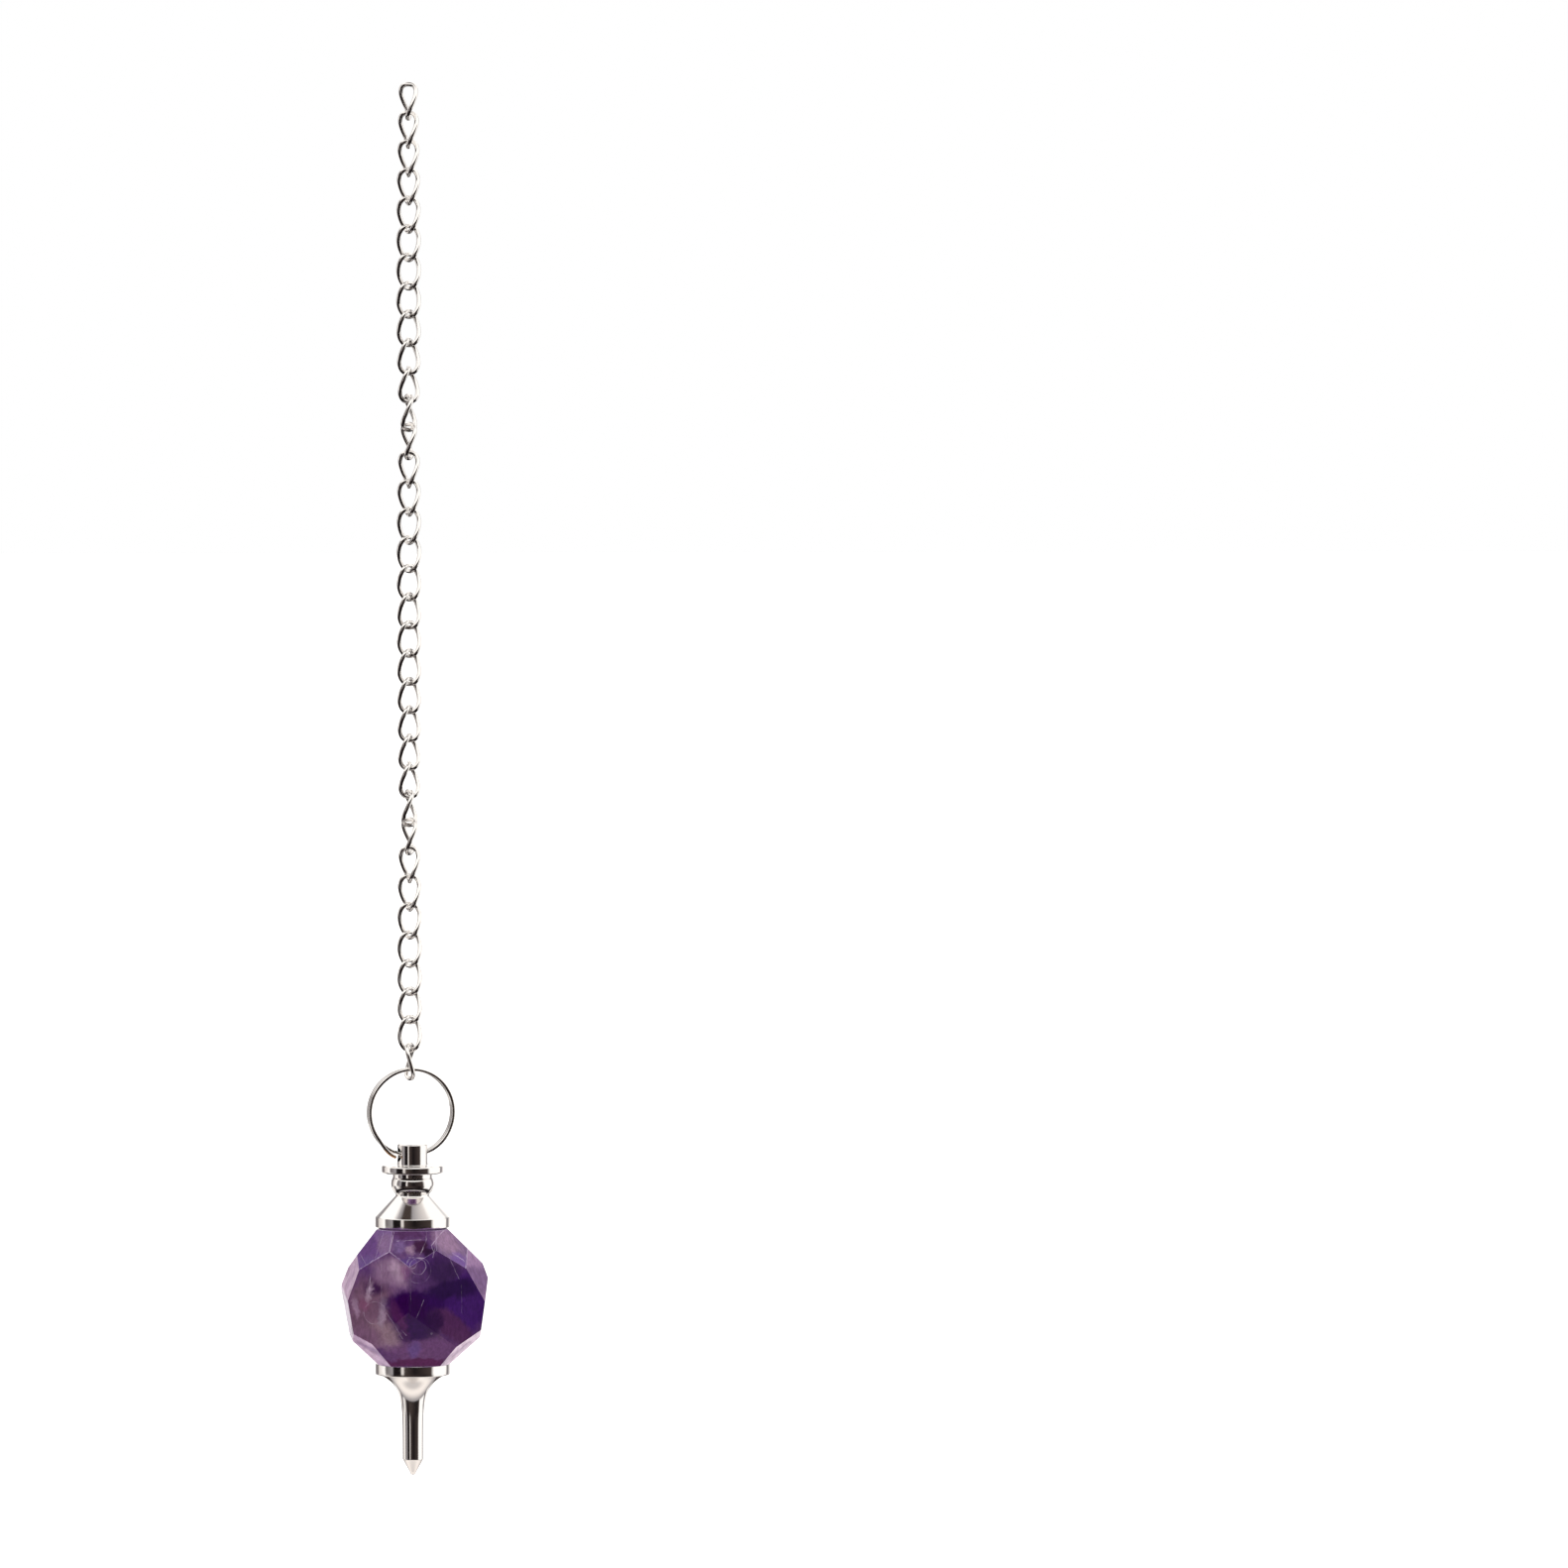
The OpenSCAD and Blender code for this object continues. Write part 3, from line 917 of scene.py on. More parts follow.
@dataclass
class Chain:
    """The chain of twisted links, from the link that it hangs by down to the one that holds the ring.

    A row of turns says how many links above the last one a link is, and the way that it faces, in degrees.
    """

    count: int = 35
    length: float = 5.18
    width: float = 3.35
    wire: float = 0.6
    squareness: float = 2.5
    twist: float = 90.0
    last_twist: float = -60.0
    slack: float = 0.19
    loop_steps: int = 56
    wire_sides: int = 12
    turns: list[tuple[int, float]] = field(default_factory=lambda: [
        (0, 92), (1, 372), (2, 375), (4, 355), (7, 315), (10, 225), (15, 195), (16, 205), (18, 175), (21, 135),
        (24, 45), (28, -5), (32, -45), (34, -60),
    ])

    def height(self, number: int) -> float:
        """The height of a link's middle, in millimetres, where the top link is number 1."""
        pitch = self.length - 2 * self.wire - self.slack
        return self.wire - self.length / 2 - (number - 1) * pitch

    def bottom(self) -> float:
        """The height of the last link's lowest point."""
        return self.height(self.count) - self.length / 2

    def facing(self, number: int) -> float:
        """The direction that a link faces, read evenly between the rows of turns.

        Args:
            number: the link's number from the top, from 1.

        Returns:
            The direction in degrees about the vertical.
        """
        above = self.count - number
        for (low, start), (high, end) in zip(self.turns, self.turns[1:]):
            if low <= above <= high:
                return start + (end - start) * (above - low) / (high - low)
        return self.turns[-1][1]

    @staticmethod
    def squared(wires: Wiring, part: object, power: object, span: object) -> NodeSocket:
        """One coordinate of a squared oval, from the same coordinate of a circle.

        Args:
            wires: the tree's wiring.
            part: the circle's coordinate, from -1 to 1.
            power: the power that it is raised to.
            span: the oval's length along it, to the middle of the wire.

        Returns:
            The coordinate.
        """
        bent = wires.math("POWER", wires.math("ABSOLUTE", part), power)
        signed = wires.math("MULTIPLY", wires.math("SIGN", part), bent)
        return wires.math("MULTIPLY", signed, wires.math("MULTIPLY", span, 0.5))

    def tree(self) -> GeometryNodeTree:
        """The geometry node tree that sets one twisted link on each point.

        Returns:
            The tree.
        """
        wires, given, result = Wiring.group(
            "Twisted links", "GeometryNodeTree",
            (("Geometry", "Link middles"), ("Float", "Length", "Width", "Wire", "Squareness", "Twist"),
             ("Int", "Loop steps", "Wire sides"), ("Material", "Metal")), (("Geometry", "Links"),),
        )
        circle = "GeometryNodeCurvePrimitiveCircle"
        loop = wires.fed(circle, {"Resolution": given["Loop steps"], "Radius": 1.0})
        x, y, _ = wires.parts(wires.fed("GeometryNodeInputPosition", {}))
        power = wires.math("DIVIDE", 2.0, given["Squareness"])
        width = wires.math("SUBTRACT", given["Width"], given["Wire"])
        length = wires.math("SUBTRACT", given["Length"], given["Wire"])
        across = self.squared(wires, x, power, width)
        along = self.squared(wires, y, power, length)
        angle = wires.math("MULTIPLY", wires.math("DIVIDE", along, length), given["Twist"])
        place = wires.round_point(across, angle, along)
        bent = wires.fed("GeometryNodeSetPosition", {"Geometry": loop, "Position": place})
        section = wires.fed(circle, {"Resolution": given["Wire sides"],
                                     "Radius": wires.math("MULTIPLY", given["Wire"], 0.5)})
        swept = wires.fed("GeometryNodeCurveToMesh", {"Curve": bent, "Profile Curve": section})
        smooth = wires.fed("GeometryNodeSetShadeSmooth", {"Geometry": swept})
        facing = wires.fed("GeometryNodeInputNamedAttribute", {"Name": "facing"}, data_type="FLOAT")
        turn = wires.fed("FunctionNodeEulerToRotation", {"Euler": wires.point(z=facing)})
        put = wires.fed("GeometryNodeInstanceOnPoints", {
            "Points": given["Link middles"], "Instance": smooth, "Rotation": turn,
        })
        wires.feed(result[0], wires.in_metal(put, given["Metal"]))
        return wires.tree

    def links(self, tree: GeometryNodeTree, numbers: Sequence[int], twist: float, metal: Material) -> Mesh:
        """Some of the links as one mesh.

        Args:
            tree: the tree that makes them.
            numbers: the links' numbers from the top.
            twist: their twist from end to end, in degrees.
            metal: their material.

        Returns:
            The mesh.
        """
        middles = bpy.data.meshes.new("link middles")
        middles.from_pydata([(0, 0, self.height(n) * MM) for n in numbers], [], [])
        turn = middles.attributes.new("facing", "FLOAT", "POINT")
        turn.data.foreach_set("value", [math.radians(self.facing(n)) for n in numbers])
        return grown("link middles", middles, tree, {
            "Length": self.length * MM, "Width": self.width * MM, "Wire": self.wire * MM,
            "Squareness": self.squareness, "Twist": math.radians(twist), "Loop steps": self.loop_steps,
            "Wire sides": self.wire_sides, "Metal": metal,
        })

    def build(self, metal: Material) -> Object:
        """Makes the whole chain.

        Args:
            metal: the links' material.

        Returns:
            The chain's object.
        """
        tree = self.tree()
        shape = bmesh.new()
        shape.from_mesh(self.links(tree, range(1, self.count), self.twist, metal))
        shape.from_mesh(self.links(tree, [self.count], self.last_twist, metal))
        chain = finished("chain_links", poured("chain", shape), [metal])
        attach(chain, "chain")
        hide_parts(*[f"link_{n:02d}" for n in range(1, self.count + 1)])
        return chain


@dataclass
class SplitRing:
    """The ring of two turns of flat wire, whose sprung end shows its brass beside the stem."""

    diameter: float = 12.0
    wire: float = 0.45
    width: float = 1.5
    yaw: float = 15.0
    seat: float = 0.7
    shift: float = 0.15
    rounding: float = 0.16
    first_end: float = -111.0
    crossing: float = 22.0
    end_gap: float = 3.0
    splay: float = 0.6
    splay_run: float = 34.0
    lift: float = 0.2
    strip_share: float = 0.97
    rounding_steps: int = 4
    bare: float = 0.5
    steps: int = 420

    def middle(self, chain: Chain) -> Vector:
        """The ring's middle on the chain that it hangs on, in millimetres."""
        return Vector((self.shift, 0, chain.bottom() + chain.wire + self.seat - self.inner()))

    def inner(self) -> float:
        """The ring's inner radius."""
        return self.diameter / 2 - self.wire

    def tree(self) -> GeometryNodeTree:
        """The geometry node tree that winds the wire.

        Returns:
            The tree.
        """
        wires, given, result = Wiring.group(
            "Two turns of wire", "GeometryNodeTree",
            (("Geometry", "Start"), ("Float", "Radius", "Half width", "Wire", "Rounding", "First end", "Crossing",
                                     "End gap", "Splay", "Splay run", "Lift"),
             ("Int", "Steps"), ("Material", "Metal")), (("Geometry", "Ring"),),
        )
        line = wires.fed("GeometryNodeMeshLine", {"Count": given["Steps"]}, mode="OFFSET")
        curve = wires.fed("GeometryNodeMeshToCurve", {"Mesh": line})
        last = wires.math("SUBTRACT", given["Steps"], 1.0)
        share = wires.math("DIVIDE", wires.fed("GeometryNodeInputIndex", {}), last)
        full = 2 * math.pi
        total = wires.math("SUBTRACT", wires.math("SUBTRACT", 2 * full, given["Crossing"]), given["End gap"])
        run = wires.math("MULTIPLY", share, total)
        sprung = wires.spread(run, 0.0, given["Splay run"], 1.0, 0.0)
        cross = wires.spread(run, wires.math("SUBTRACT", full, given["Crossing"]), full)
        side = wires.math("MULTIPLY", given["Half width"], wires.math("SUBTRACT", 0.5, cross))
        lifted = wires.math("MULTIPLY_ADD", sprung, given["Lift"], side)
        radius = wires.math("MULTIPLY_ADD", sprung, given["Splay"], given["Radius"])
        angle = wires.math("SUBTRACT", given["First end"], run)
        place = wires.round_point(radius, angle, lifted)
        bent = wires.fed("GeometryNodeSetPosition", {"Geometry": curve, "Position": place})
        upright = wires.fed("GeometryNodeSetCurveNormal", {"Curve": bent}, mode="Z_UP")
        section = wires.fed("GeometryNodeCurvePrimitiveQuadrilateral", {
            "Width": given["Wire"], "Height": wires.math("MULTIPLY", given["Half width"], self.strip_share),
        }, mode="RECTANGLE")
        fillet = wires.fed("GeometryNodeFilletCurve", {
            "Curve": section, "Radius": given["Rounding"], "Count": self.rounding_steps,
        }, mode="POLY")
        swept = wires.fed("GeometryNodeCurveToMesh", {"Curve": upright, "Profile Curve": fillet, "Fill Caps": True})
        wires.feed(result[0], wires.in_metal(swept, given["Metal"]))
        return wires.tree

    def build(self, chain: Chain, metal: Material, brass: Material) -> Object:
        """Winds the ring and hangs it on the chain.

        Args:
            chain: the chain that it hangs on.
            metal: the plate on the wire.
            brass: the metal that shows at the wire's cut ends.

        Returns:
            The ring's object.
        """
        start = bpy.data.meshes.new("ring start")
        start.from_pydata([(0, 0, 0)], [], [])
        mesh = grown("ring start", start, self.tree(), {
            "Radius": (self.diameter - self.wire) / 2 * MM, "Half width": self.width / 2 * MM, "Wire": self.wire * MM,
            "Rounding": self.rounding * MM, "First end": math.radians(self.first_end),
            "Crossing": math.radians(self.crossing), "End gap": math.radians(self.end_gap),
            "Splay": self.splay * MM, "Splay run": math.radians(self.splay_run), "Lift": self.lift * MM,
            "Steps": self.steps, "Metal": metal,
        })
        mesh.materials.clear()
        mesh.materials.append(metal)
        mesh.materials.append(brass)
        bare_reach = ((self.diameter - self.wire) / 2 + self.bare) * MM
        for face in mesh.polygons:
            cut_end = len(face.vertices) > 4
            if cut_end or face.center.xy.length > bare_reach:
                face.material_index = 1
        upright = Matrix.Rotation(math.radians(self.yaw), 4, "Z") @ Matrix.Rotation(math.radians(90), 4, "X")
        mesh.transform(Matrix.Translation(self.middle(chain) * MM) @ upright)
        soften(mesh, angle=40.0)
        ring = finished("split_ring_coil", mesh)
        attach(ring, "ring")
        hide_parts("split_ring")
        return ring


@dataclass
class UpperCap:
    """The turned cap above the stone: band, cone, waist, bulb, neck, flange and drilled stem."""

    band_r: float = 5.05
    band_h: float = 1.35
    band_bevel: float = 0.3
    cone_h: float = 2.6
    waist_r: float = 2.275
    waist_h: float = 0.2
    bulb_r: float = 2.9
    bulb_side_r: float = 1.8
    neck_r: float = 2.65
    neck_h: float = 0.55
    flange_r: float = 4.15
    flange_h: float = 1.05
    stem_r: float = 2.025
    hole_rise: float = 1.45
    stem_above: float = 1.4
    hole_r: float = 1.0
    hole_clearance: float = 0.08
    shift: float = 0.35
    bulb_steps: int = 18
    drill_sides: int = 64

    def run(self, radius: float) -> float:
        """The height that the bulb's round side runs from its widest place to a radius."""
        return math.sqrt(self.bulb_side_r ** 2 - (self.bulb_side_r - (self.bulb_r - radius)) ** 2)

    def waist_z(self) -> float:
        """The height of the waist above the seat."""
        return self.band_h + self.band_bevel + self.cone_h

    def bulb_z(self) -> float:
        """The height of the bulb's widest place above the seat."""
        return self.waist_z() + self.waist_h + self.run(self.waist_r)

    def flange_z(self) -> float:
        """The height of the flange's underside above the seat."""
        return self.bulb_z() + self.run(self.neck_r) + self.neck_h

    def stem_z(self) -> float:
        """The height of the stem's foot above the seat."""
        return self.flange_z() + self.flange_h

    def seat(self, chain: Chain, ring: SplitRing) -> Vector:
        """The middle of the cap's underside, in millimetres.

        Args:
            chain: the chain that the ring hangs on.
            ring: the ring that the cap hangs on.

        Returns:
            The point.
        """
        reach = self.stem_r + self.shift - ring.shift
        rise = ring.inner() - math.sqrt(ring.inner() ** 2 - reach ** 2)
        headroom = math.sqrt(self.hole_r ** 2 - (ring.width / 2) ** 2)
        hole = ring.middle(chain).z - ring.inner() + rise + self.hole_clearance - headroom
        return Vector((self.shift, 0, hole - self.hole_rise - self.stem_z()))

    def profile(self) -> list[tuple[float, float]]:
        """The cap's profile from the seat's middle round to the stem's top.

        Returns:
            Radius and height of each point.
        """
        shoulder = self.band_h + self.band_bevel
        top = self.stem_z() + self.hole_rise + self.stem_above
        below = rounded([
            Corner(0, 0), Corner(self.band_r, 0, 0.1), Corner(self.band_r, self.band_h, 0.2),
            Corner(self.band_r - self.band_bevel, shoulder, 0.25), Corner(self.waist_r, self.waist_z(), 0.35),
            Corner(self.waist_r, self.waist_z() + self.waist_h),
        ])
        centre_r = self.bulb_r - self.bulb_side_r
        start = math.asin(-self.run(self.waist_r) / self.bulb_side_r)
        end = math.asin(self.run(self.neck_r) / self.bulb_side_r)
        turns = [start + (end - start) * k / self.bulb_steps for k in range(1, self.bulb_steps + 1)]
        bulb = [(centre_r + self.bulb_side_r * math.cos(a), self.bulb_z() + self.bulb_side_r * math.sin(a))
                for a in turns]
        above = rounded([
            Corner(*bulb[-1]), Corner(self.neck_r, self.flange_z(), 0.08), Corner(self.flange_r, self.flange_z(), 0.2),
            Corner(self.flange_r, self.stem_z(), 0.25), Corner(self.stem_r, self.stem_z(), 0.12),
            Corner(self.stem_r, top, 0.2), Corner(0, top),
        ])
        return below + bulb + above[1:]

    def build(self, chain: Chain, ring: SplitRing, metal: Material) -> Object:
        """Turns the cap and drills its stem.

        Args:
            chain: the chain above.
            ring: the ring that passes through the stem.
            metal: the cap's material.

        Returns:
            The cap's object.
        """
        blank = finished("cap blank", turned(self.profile()))
        far = 4 * self.stem_r
        drill_mesh = turned([(0, -far), (self.hole_r, -far), (self.hole_r, far), (0, far)], self.drill_sides)
        across = Matrix.Rotation(math.radians(ring.yaw), 4, "Z") @ Matrix.Rotation(math.radians(90), 4, "Y")
        rise = Matrix.Translation((0, 0, (self.stem_z() + self.hole_rise) * MM))
        drill_mesh.transform(rise @ across)
        drill = finished("drill", drill_mesh)
        cut = blank.modifiers.new("Hole", "BOOLEAN")
        cut.object = drill
        cut.solver = "EXACT"
        mesh = evaluated_mesh(blank)
        bpy.data.objects.remove(drill)
        mesh.transform(Matrix.Translation(self.seat(chain, ring) * MM))
        soften(mesh)
        cap = finished("upper_cap", mesh, [metal])
        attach(cap, "bob")
        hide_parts("top_cap")
        return cap


@dataclass
class PointCap:
    """The turned cap below the stone: a disc whose flare runs out into a long slender point."""

    disc_r: float = 5.05
    disc_h: float = 1.5
    flare_r: float = 4.5
    flare_decay: float = 1.5
    point_r: float = 1.375
    point_h: float = 11.5
    tip_h: float = 1.7
    tip_r: float = 0.425
    tip_shoulder: tuple[float, float] = (0.7, 0.75)
    flare_steps: int = 40

    def profile(self) -> list[tuple[float, float]]:
        """The cap's profile from the disc's middle down to the tip.

        Returns:
            Radius and height of each point.
        """
        disc = rounded([
            Corner(0, 0), Corner(self.disc_r, 0, 0.12), Corner(self.disc_r, -self.disc_h, 0.14),
            Corner(self.flare_r, -self.disc_h),
        ])
        flare: list[tuple[float, float]] = []
        for k in range(1, self.flare_steps):
            depth = self.point_h * (k / self.flare_steps) ** 2
            radius = self.point_r + (self.flare_r - self.point_r) * math.exp(-depth / self.flare_decay)
            flare.append((radius, -self.disc_h - depth))
        shoulder = -self.disc_h - self.point_h
        tip = shoulder - self.tip_h
        inwards, down = self.tip_shoulder
        end = rounded([
            Corner(*flare[-1]), Corner(self.point_r, shoulder, 0.35), Corner(self.tip_r, tip, 0.3),
            Corner(self.tip_r * inwards, tip - self.tip_r * down, 0.2), Corner(0, tip - self.tip_r),
        ])
        return disc + flare + end[1:]

    def build(self, top: Vector, metal: Material) -> Object:
        """Turns the cap.

        Args:
            top: the middle of the disc's upper face, in millimetres.
            metal: the cap's material.

        Returns:
            The cap's object.
        """
        mesh = turned(self.profile())
        mesh.transform(Matrix.Translation(top * MM))
        soften(mesh)
        cap = finished("lower_cap", mesh, [metal])
        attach(cap, "bob")
        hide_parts("point_cap")
        return cap


@dataclass
class Stone:
    """The hand-faceted amethyst.

    Each facet is known by the way that it faces, its azimuth from the front and its height in degrees, and
    has a tint: the stone's colour, and in the pale side facets also a painted reflection of the bright room.
    Its row, for the clouds, comes from how far that way leans to the front, along Y.
    """

    crown: float = 9.05
    base: float = 9.25
    glue: float = 0.05
    edge: float = 0.05
    edge_steps: int = 2
    edge_angle: float = 5.0
    merge: float = 0.001
    facet_angle: float = 0.6
    same_way: float = 1.2
    level: float = 0.99
    # a painted highlight on the rounded edges: its strength, and the upward tilt of a face over which it grows
    bevel_glint: float = 0.4
    glint_tilt: tuple[float, float] = (0.2, 0.55)
    front_y: float = -0.8
    crown_y: float = -0.5
    # the pale side facets' tints are partly painted reflection of the bright room at grazing angles, on top of the
    # stone's colour
    tints_and_reflections: list[tuple[float, float, Tint]] = field(default_factory=lambda: [
        (-50, 35, Tint(104, 72, 128)), (4, 42, Tint(92, 60, 106)), (50, 31, Tint(126, 98, 138)),
        (95, 45, Tint(128, 98, 146)), (140, 41, Tint(96, 56, 128)), (182, 42, Tint(120, 88, 138)),
        (222, 41, Tint(90, 54, 124)), (263, 37, Tint(130, 104, 150)),
        (-28, 2, Tint(80, 50, 92)), (30, 0, Tint(72, 42, 86)), (65, 20, Tint(165, 132, 171)),
        (90, -8, Tint(136, 104, 152)), (103, 19, Tint(140, 108, 156)), (150, 1, Tint(78, 42, 110)),
        (210, 0, Tint(88, 56, 112)), (255, -13, Tint(126, 96, 140)), (258, 23, Tint(120, 90, 138)),
        (278, -9, Tint(216, 202, 220)), (290, 16, Tint(188, 164, 186)),
        (-55, -46, Tint(186, 160, 184)), (5, -32, Tint(80, 48, 88)), (62, -44, Tint(216, 196, 212)),
        (100, -48, Tint(138, 112, 154)), (140, -43, Tint(92, 58, 118)), (182, -38, Tint(110, 80, 124)),
        (222, -43, Tint(86, 50, 116)), (263, -45, Tint(134, 108, 150)),
    ])

    def mark_facets(self, mesh: Mesh) -> None:
        """Gives each face its facet's tint and row, and marks the edges between the facets for a painted highlight,
        stronger where they face up.

        Args:
            mesh: the stone's mesh.
        """
        ways = []
        for azimuth, height, tint in self.tints_and_reflections:
            a, h = math.radians(azimuth), math.radians(height)
            ways.append((Vector((math.cos(h) * math.sin(a), -math.cos(h) * math.cos(a), math.sin(h))), tint))
        tint_and_reflection_mark = mesh.attributes.new("tint", "FLOAT_COLOR", "CORNER")
        glint_mark = mesh.attributes.new("edge_glint", "FLOAT", "FACE")
        row_mark = mesh.attributes.new("row", "FLOAT", "FACE")
        nearly = math.cos(math.radians(self.same_way))
        low, high = self.glint_tilt
        for face in mesh.polygons:
            way, tint = max(ways, key=lambda pair: pair[0].dot(face.normal))
            flat = way.dot(face.normal) > nearly or abs(face.normal.z) > self.level
            # painted highlight: an edge face is painted paler the more it faces up
            raised = min(max((face.normal.z - low) / (high - low), 0.0), 1.0)
            glint_mark.data[face.index].value = 0.0 if flat else self.bevel_glint * raised
            row = Facets.OTHER
            if way.y < self.front_y:
                row = Facets.FRONT
            elif way.y < self.crown_y and way.z > 0:
                row = Facets.CROWN
            row_mark.data[face.index].value = row.value
            for corner in face.loop_indices:
                tint_and_reflection_mark.data[corner].color = tint.linear()

    def build(self, middle: Vector, solid: Object, amethyst: Amethyst) -> Object:
        """Takes the stone's solid and rounds its edges slightly.

        Args:
            middle: the stone's middle at its girdle, in millimetres.
            solid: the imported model's stone.
            amethyst: its finish.

        Returns:
            The stone's object.
        """
        shape = bmesh.new()
        shape.from_mesh(solid.data)
        bmesh.ops.remove_doubles(shape, verts=shape.verts, dist=self.merge * MM)
        bmesh.ops.dissolve_limit(shape, angle_limit=math.radians(self.facet_angle), verts=shape.verts,
                                 edges=shape.edges)
        mesh = poured("stone", shape)
        mesh.materials.clear()
        carrier = finished("stone blank", mesh)
        # the bevel rounds the edges, and its faces carry the painted highlight
        bevel_glint = carrier.modifiers.new("Rubbed edges", "BEVEL")
        bevel_glint.width = self.edge * MM
        bevel_glint.segments = self.edge_steps
        bevel_glint.limit_method = "ANGLE"
        bevel_glint.angle_limit = math.radians(self.edge_angle)
        bevel_glint.harden_normals = True
        mesh = evaluated_mesh(carrier)
        self.mark_facets(mesh)
        stone = finished("amethyst_stone", mesh, [amethyst.dress(middle)])
        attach(stone, "bob")
        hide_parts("stone")
        return stone


# ---------------------------------------------------------------- the studio


class Wall(Enum):
    """What the polished metal mirrors, as light from one direction."""

    WHITE = Tint(255, 253, 250)
    CREAM = Tint(255, 247, 240)
    PALE = Tint(214, 208, 204)
    GREY = Tint(150, 146, 148)
    DIM = Tint(104, 98, 98)
    BROWN = Tint(64, 55, 52)
    DARK = Tint(24, 20, 21)


@dataclass
class Studio:
    """A pale floor, a white room with dark walls on the camera's side and below, a card, a soft light and the camera.

    Each pair of heights, in degrees, is where one ring of walls passes into the next above it. A row of walls
    has the angle of each wall, in degrees, and its kind. The card's parts are shares of its radius.
    """

    floor_z: float = -215.0
    floor_size: float = 6.0
    floor_glow: float = 0.55
    card_r: float = 72.0
    card_lift: float = 0.5
    card_sides: int = 48
    card_core: float = 0.1
    card_middle: float = 0.38
    card_rim: float = 0.4
    card_grey: float = 0.55
    brightness: float = 1.15
    softbox_size: float = 0.7
    softbox_power: float = 5.0
    softbox_place: tuple[float, float, float] = (-0.5, -0.9, 0.5)
    dark_from: tuple[float, float] = (-78.0, -68.0)
    low_from: tuple[float, float] = (-34.0, -24.0)
    level_from: tuple[float, float] = (-14.0, -9.0)
    white_from: tuple[float, float] = (22.0, 30.0)
    ceiling_from: tuple[float, float] = (56.0, 66.0)
    photo_px: float = 1582.0
    scale_px: float = 7.5
    stone_px: tuple[float, float] = (415.5, 1305.0)
    elevation: float = 5.5
    distance: float = 2.2
    sensor: float = 36.0
    near_far: tuple[float, float] = (0.1, 50.0)
    level_room: list[tuple[float, Wall]] = field(default_factory=lambda: [
        (-180, Wall.WHITE), (-158, Wall.GREY), (-136, Wall.DIM), (-126, Wall.PALE), (-97, Wall.WHITE),
        (-91, Wall.DIM), (-66, Wall.GREY), (-61, Wall.DARK), (-38, Wall.DARK), (-35, Wall.PALE), (-29, Wall.PALE),
        (-26, Wall.BROWN), (5, Wall.DARK), (58, Wall.BROWN), (68, Wall.WHITE), (122, Wall.WHITE), (130, Wall.DIM),
        (140, Wall.GREY), (162, Wall.WHITE), (180, Wall.WHITE),
    ])
    low_room: list[tuple[float, Wall]] = field(default_factory=lambda: [
        (-180, Wall.BROWN), (-164, Wall.BROWN), (-158, Wall.WHITE), (-128, Wall.PALE), (-122, Wall.DIM),
        (-104, Wall.GREY), (-98, Wall.WHITE), (-86, Wall.PALE), (-70, Wall.DIM), (-61, Wall.DARK), (-30, Wall.BROWN),
        (40, Wall.DARK), (62, Wall.BROWN), (72, Wall.WHITE), (112, Wall.WHITE), (118, Wall.GREY), (134, Wall.DIM),
        (140, Wall.WHITE), (160, Wall.PALE), (166, Wall.BROWN), (180, Wall.BROWN),
    ])
    overhead: list[tuple[float, Wall]] = field(default_factory=lambda: [
        (-180, Wall.WHITE), (-46, Wall.WHITE), (-38, Wall.PALE), (-22, Wall.GREY), (-18, Wall.BROWN), (-4, Wall.BROWN),
        (0, Wall.GREY), (24, Wall.PALE), (34, Wall.WHITE), (180, Wall.WHITE),
    ])

    def lay_floor(self) -> Object:
        """Lays the pale floor, which the metal doesn't mirror.

        Returns:
            The floor's object.
        """
        half, low = self.floor_size / 2, self.floor_z * MM
        mesh = bpy.data.meshes.new("floor")
        mesh.from_pydata([(-half, -half, low), (half, -half, low), (half, half, low), (-half, half, low)], [],
                         [(0, 1, 2, 3)])
        material, _, _ = new_material("pale floor", {
            "Base Color": (0.9, 0.9, 0.9, 1.0), "Roughness": 0.9, "Specular IOR Level": 0.0,
            "Emission Color": (1.0, 1.0, 1.0, 1.0), "Emission Strength": self.floor_glow,
        })
        floor = finished("floor", mesh, [material])
        floor.visible_glossy = False
        return floor

    def lay_card(self) -> Object:
        """Lays a round white card under the point, greyer in its middle and at its rim, for the metal to mirror.

        Returns:
            The card's object.
        """
        reach, low = self.card_r * MM, (self.floor_z + self.card_lift) * MM
        turns = [2 * math.pi * k / self.card_sides for k in range(self.card_sides)]
        mesh = bpy.data.meshes.new("white card")
        mesh.from_pydata([(reach * math.cos(a), reach * math.sin(a), low) for a in turns], [],
                         [tuple(range(self.card_sides))])
        material, wires, surface = new_material("white card", {
            "Base Color": (0.0, 0.0, 0.0, 1.0), "Roughness": 1.0, "Emission Strength": 1.0,
        })
        outwards = wires.vector("LENGTH", wires.vector("MULTIPLY", wires.objects(), (1.0, 1.0, 0.0)))
        inner = wires.spread(outwards, self.card_core * reach, self.card_middle * reach, self.card_grey, 0.0)
        outer = wires.spread(outwards, self.card_rim * reach, reach)
        grey = wires.math("MAXIMUM", inner, outer)
        wires.feed(surface.inputs["Emission Color"],
                   wires.mix(grey, Wall.CREAM.value.linear(), Wall.GREY.value.linear()))
        card = finished("white_card", mesh, [material])
        card.visible_camera = False
        card.visible_diffuse = False
        card.visible_shadow = False
        return card

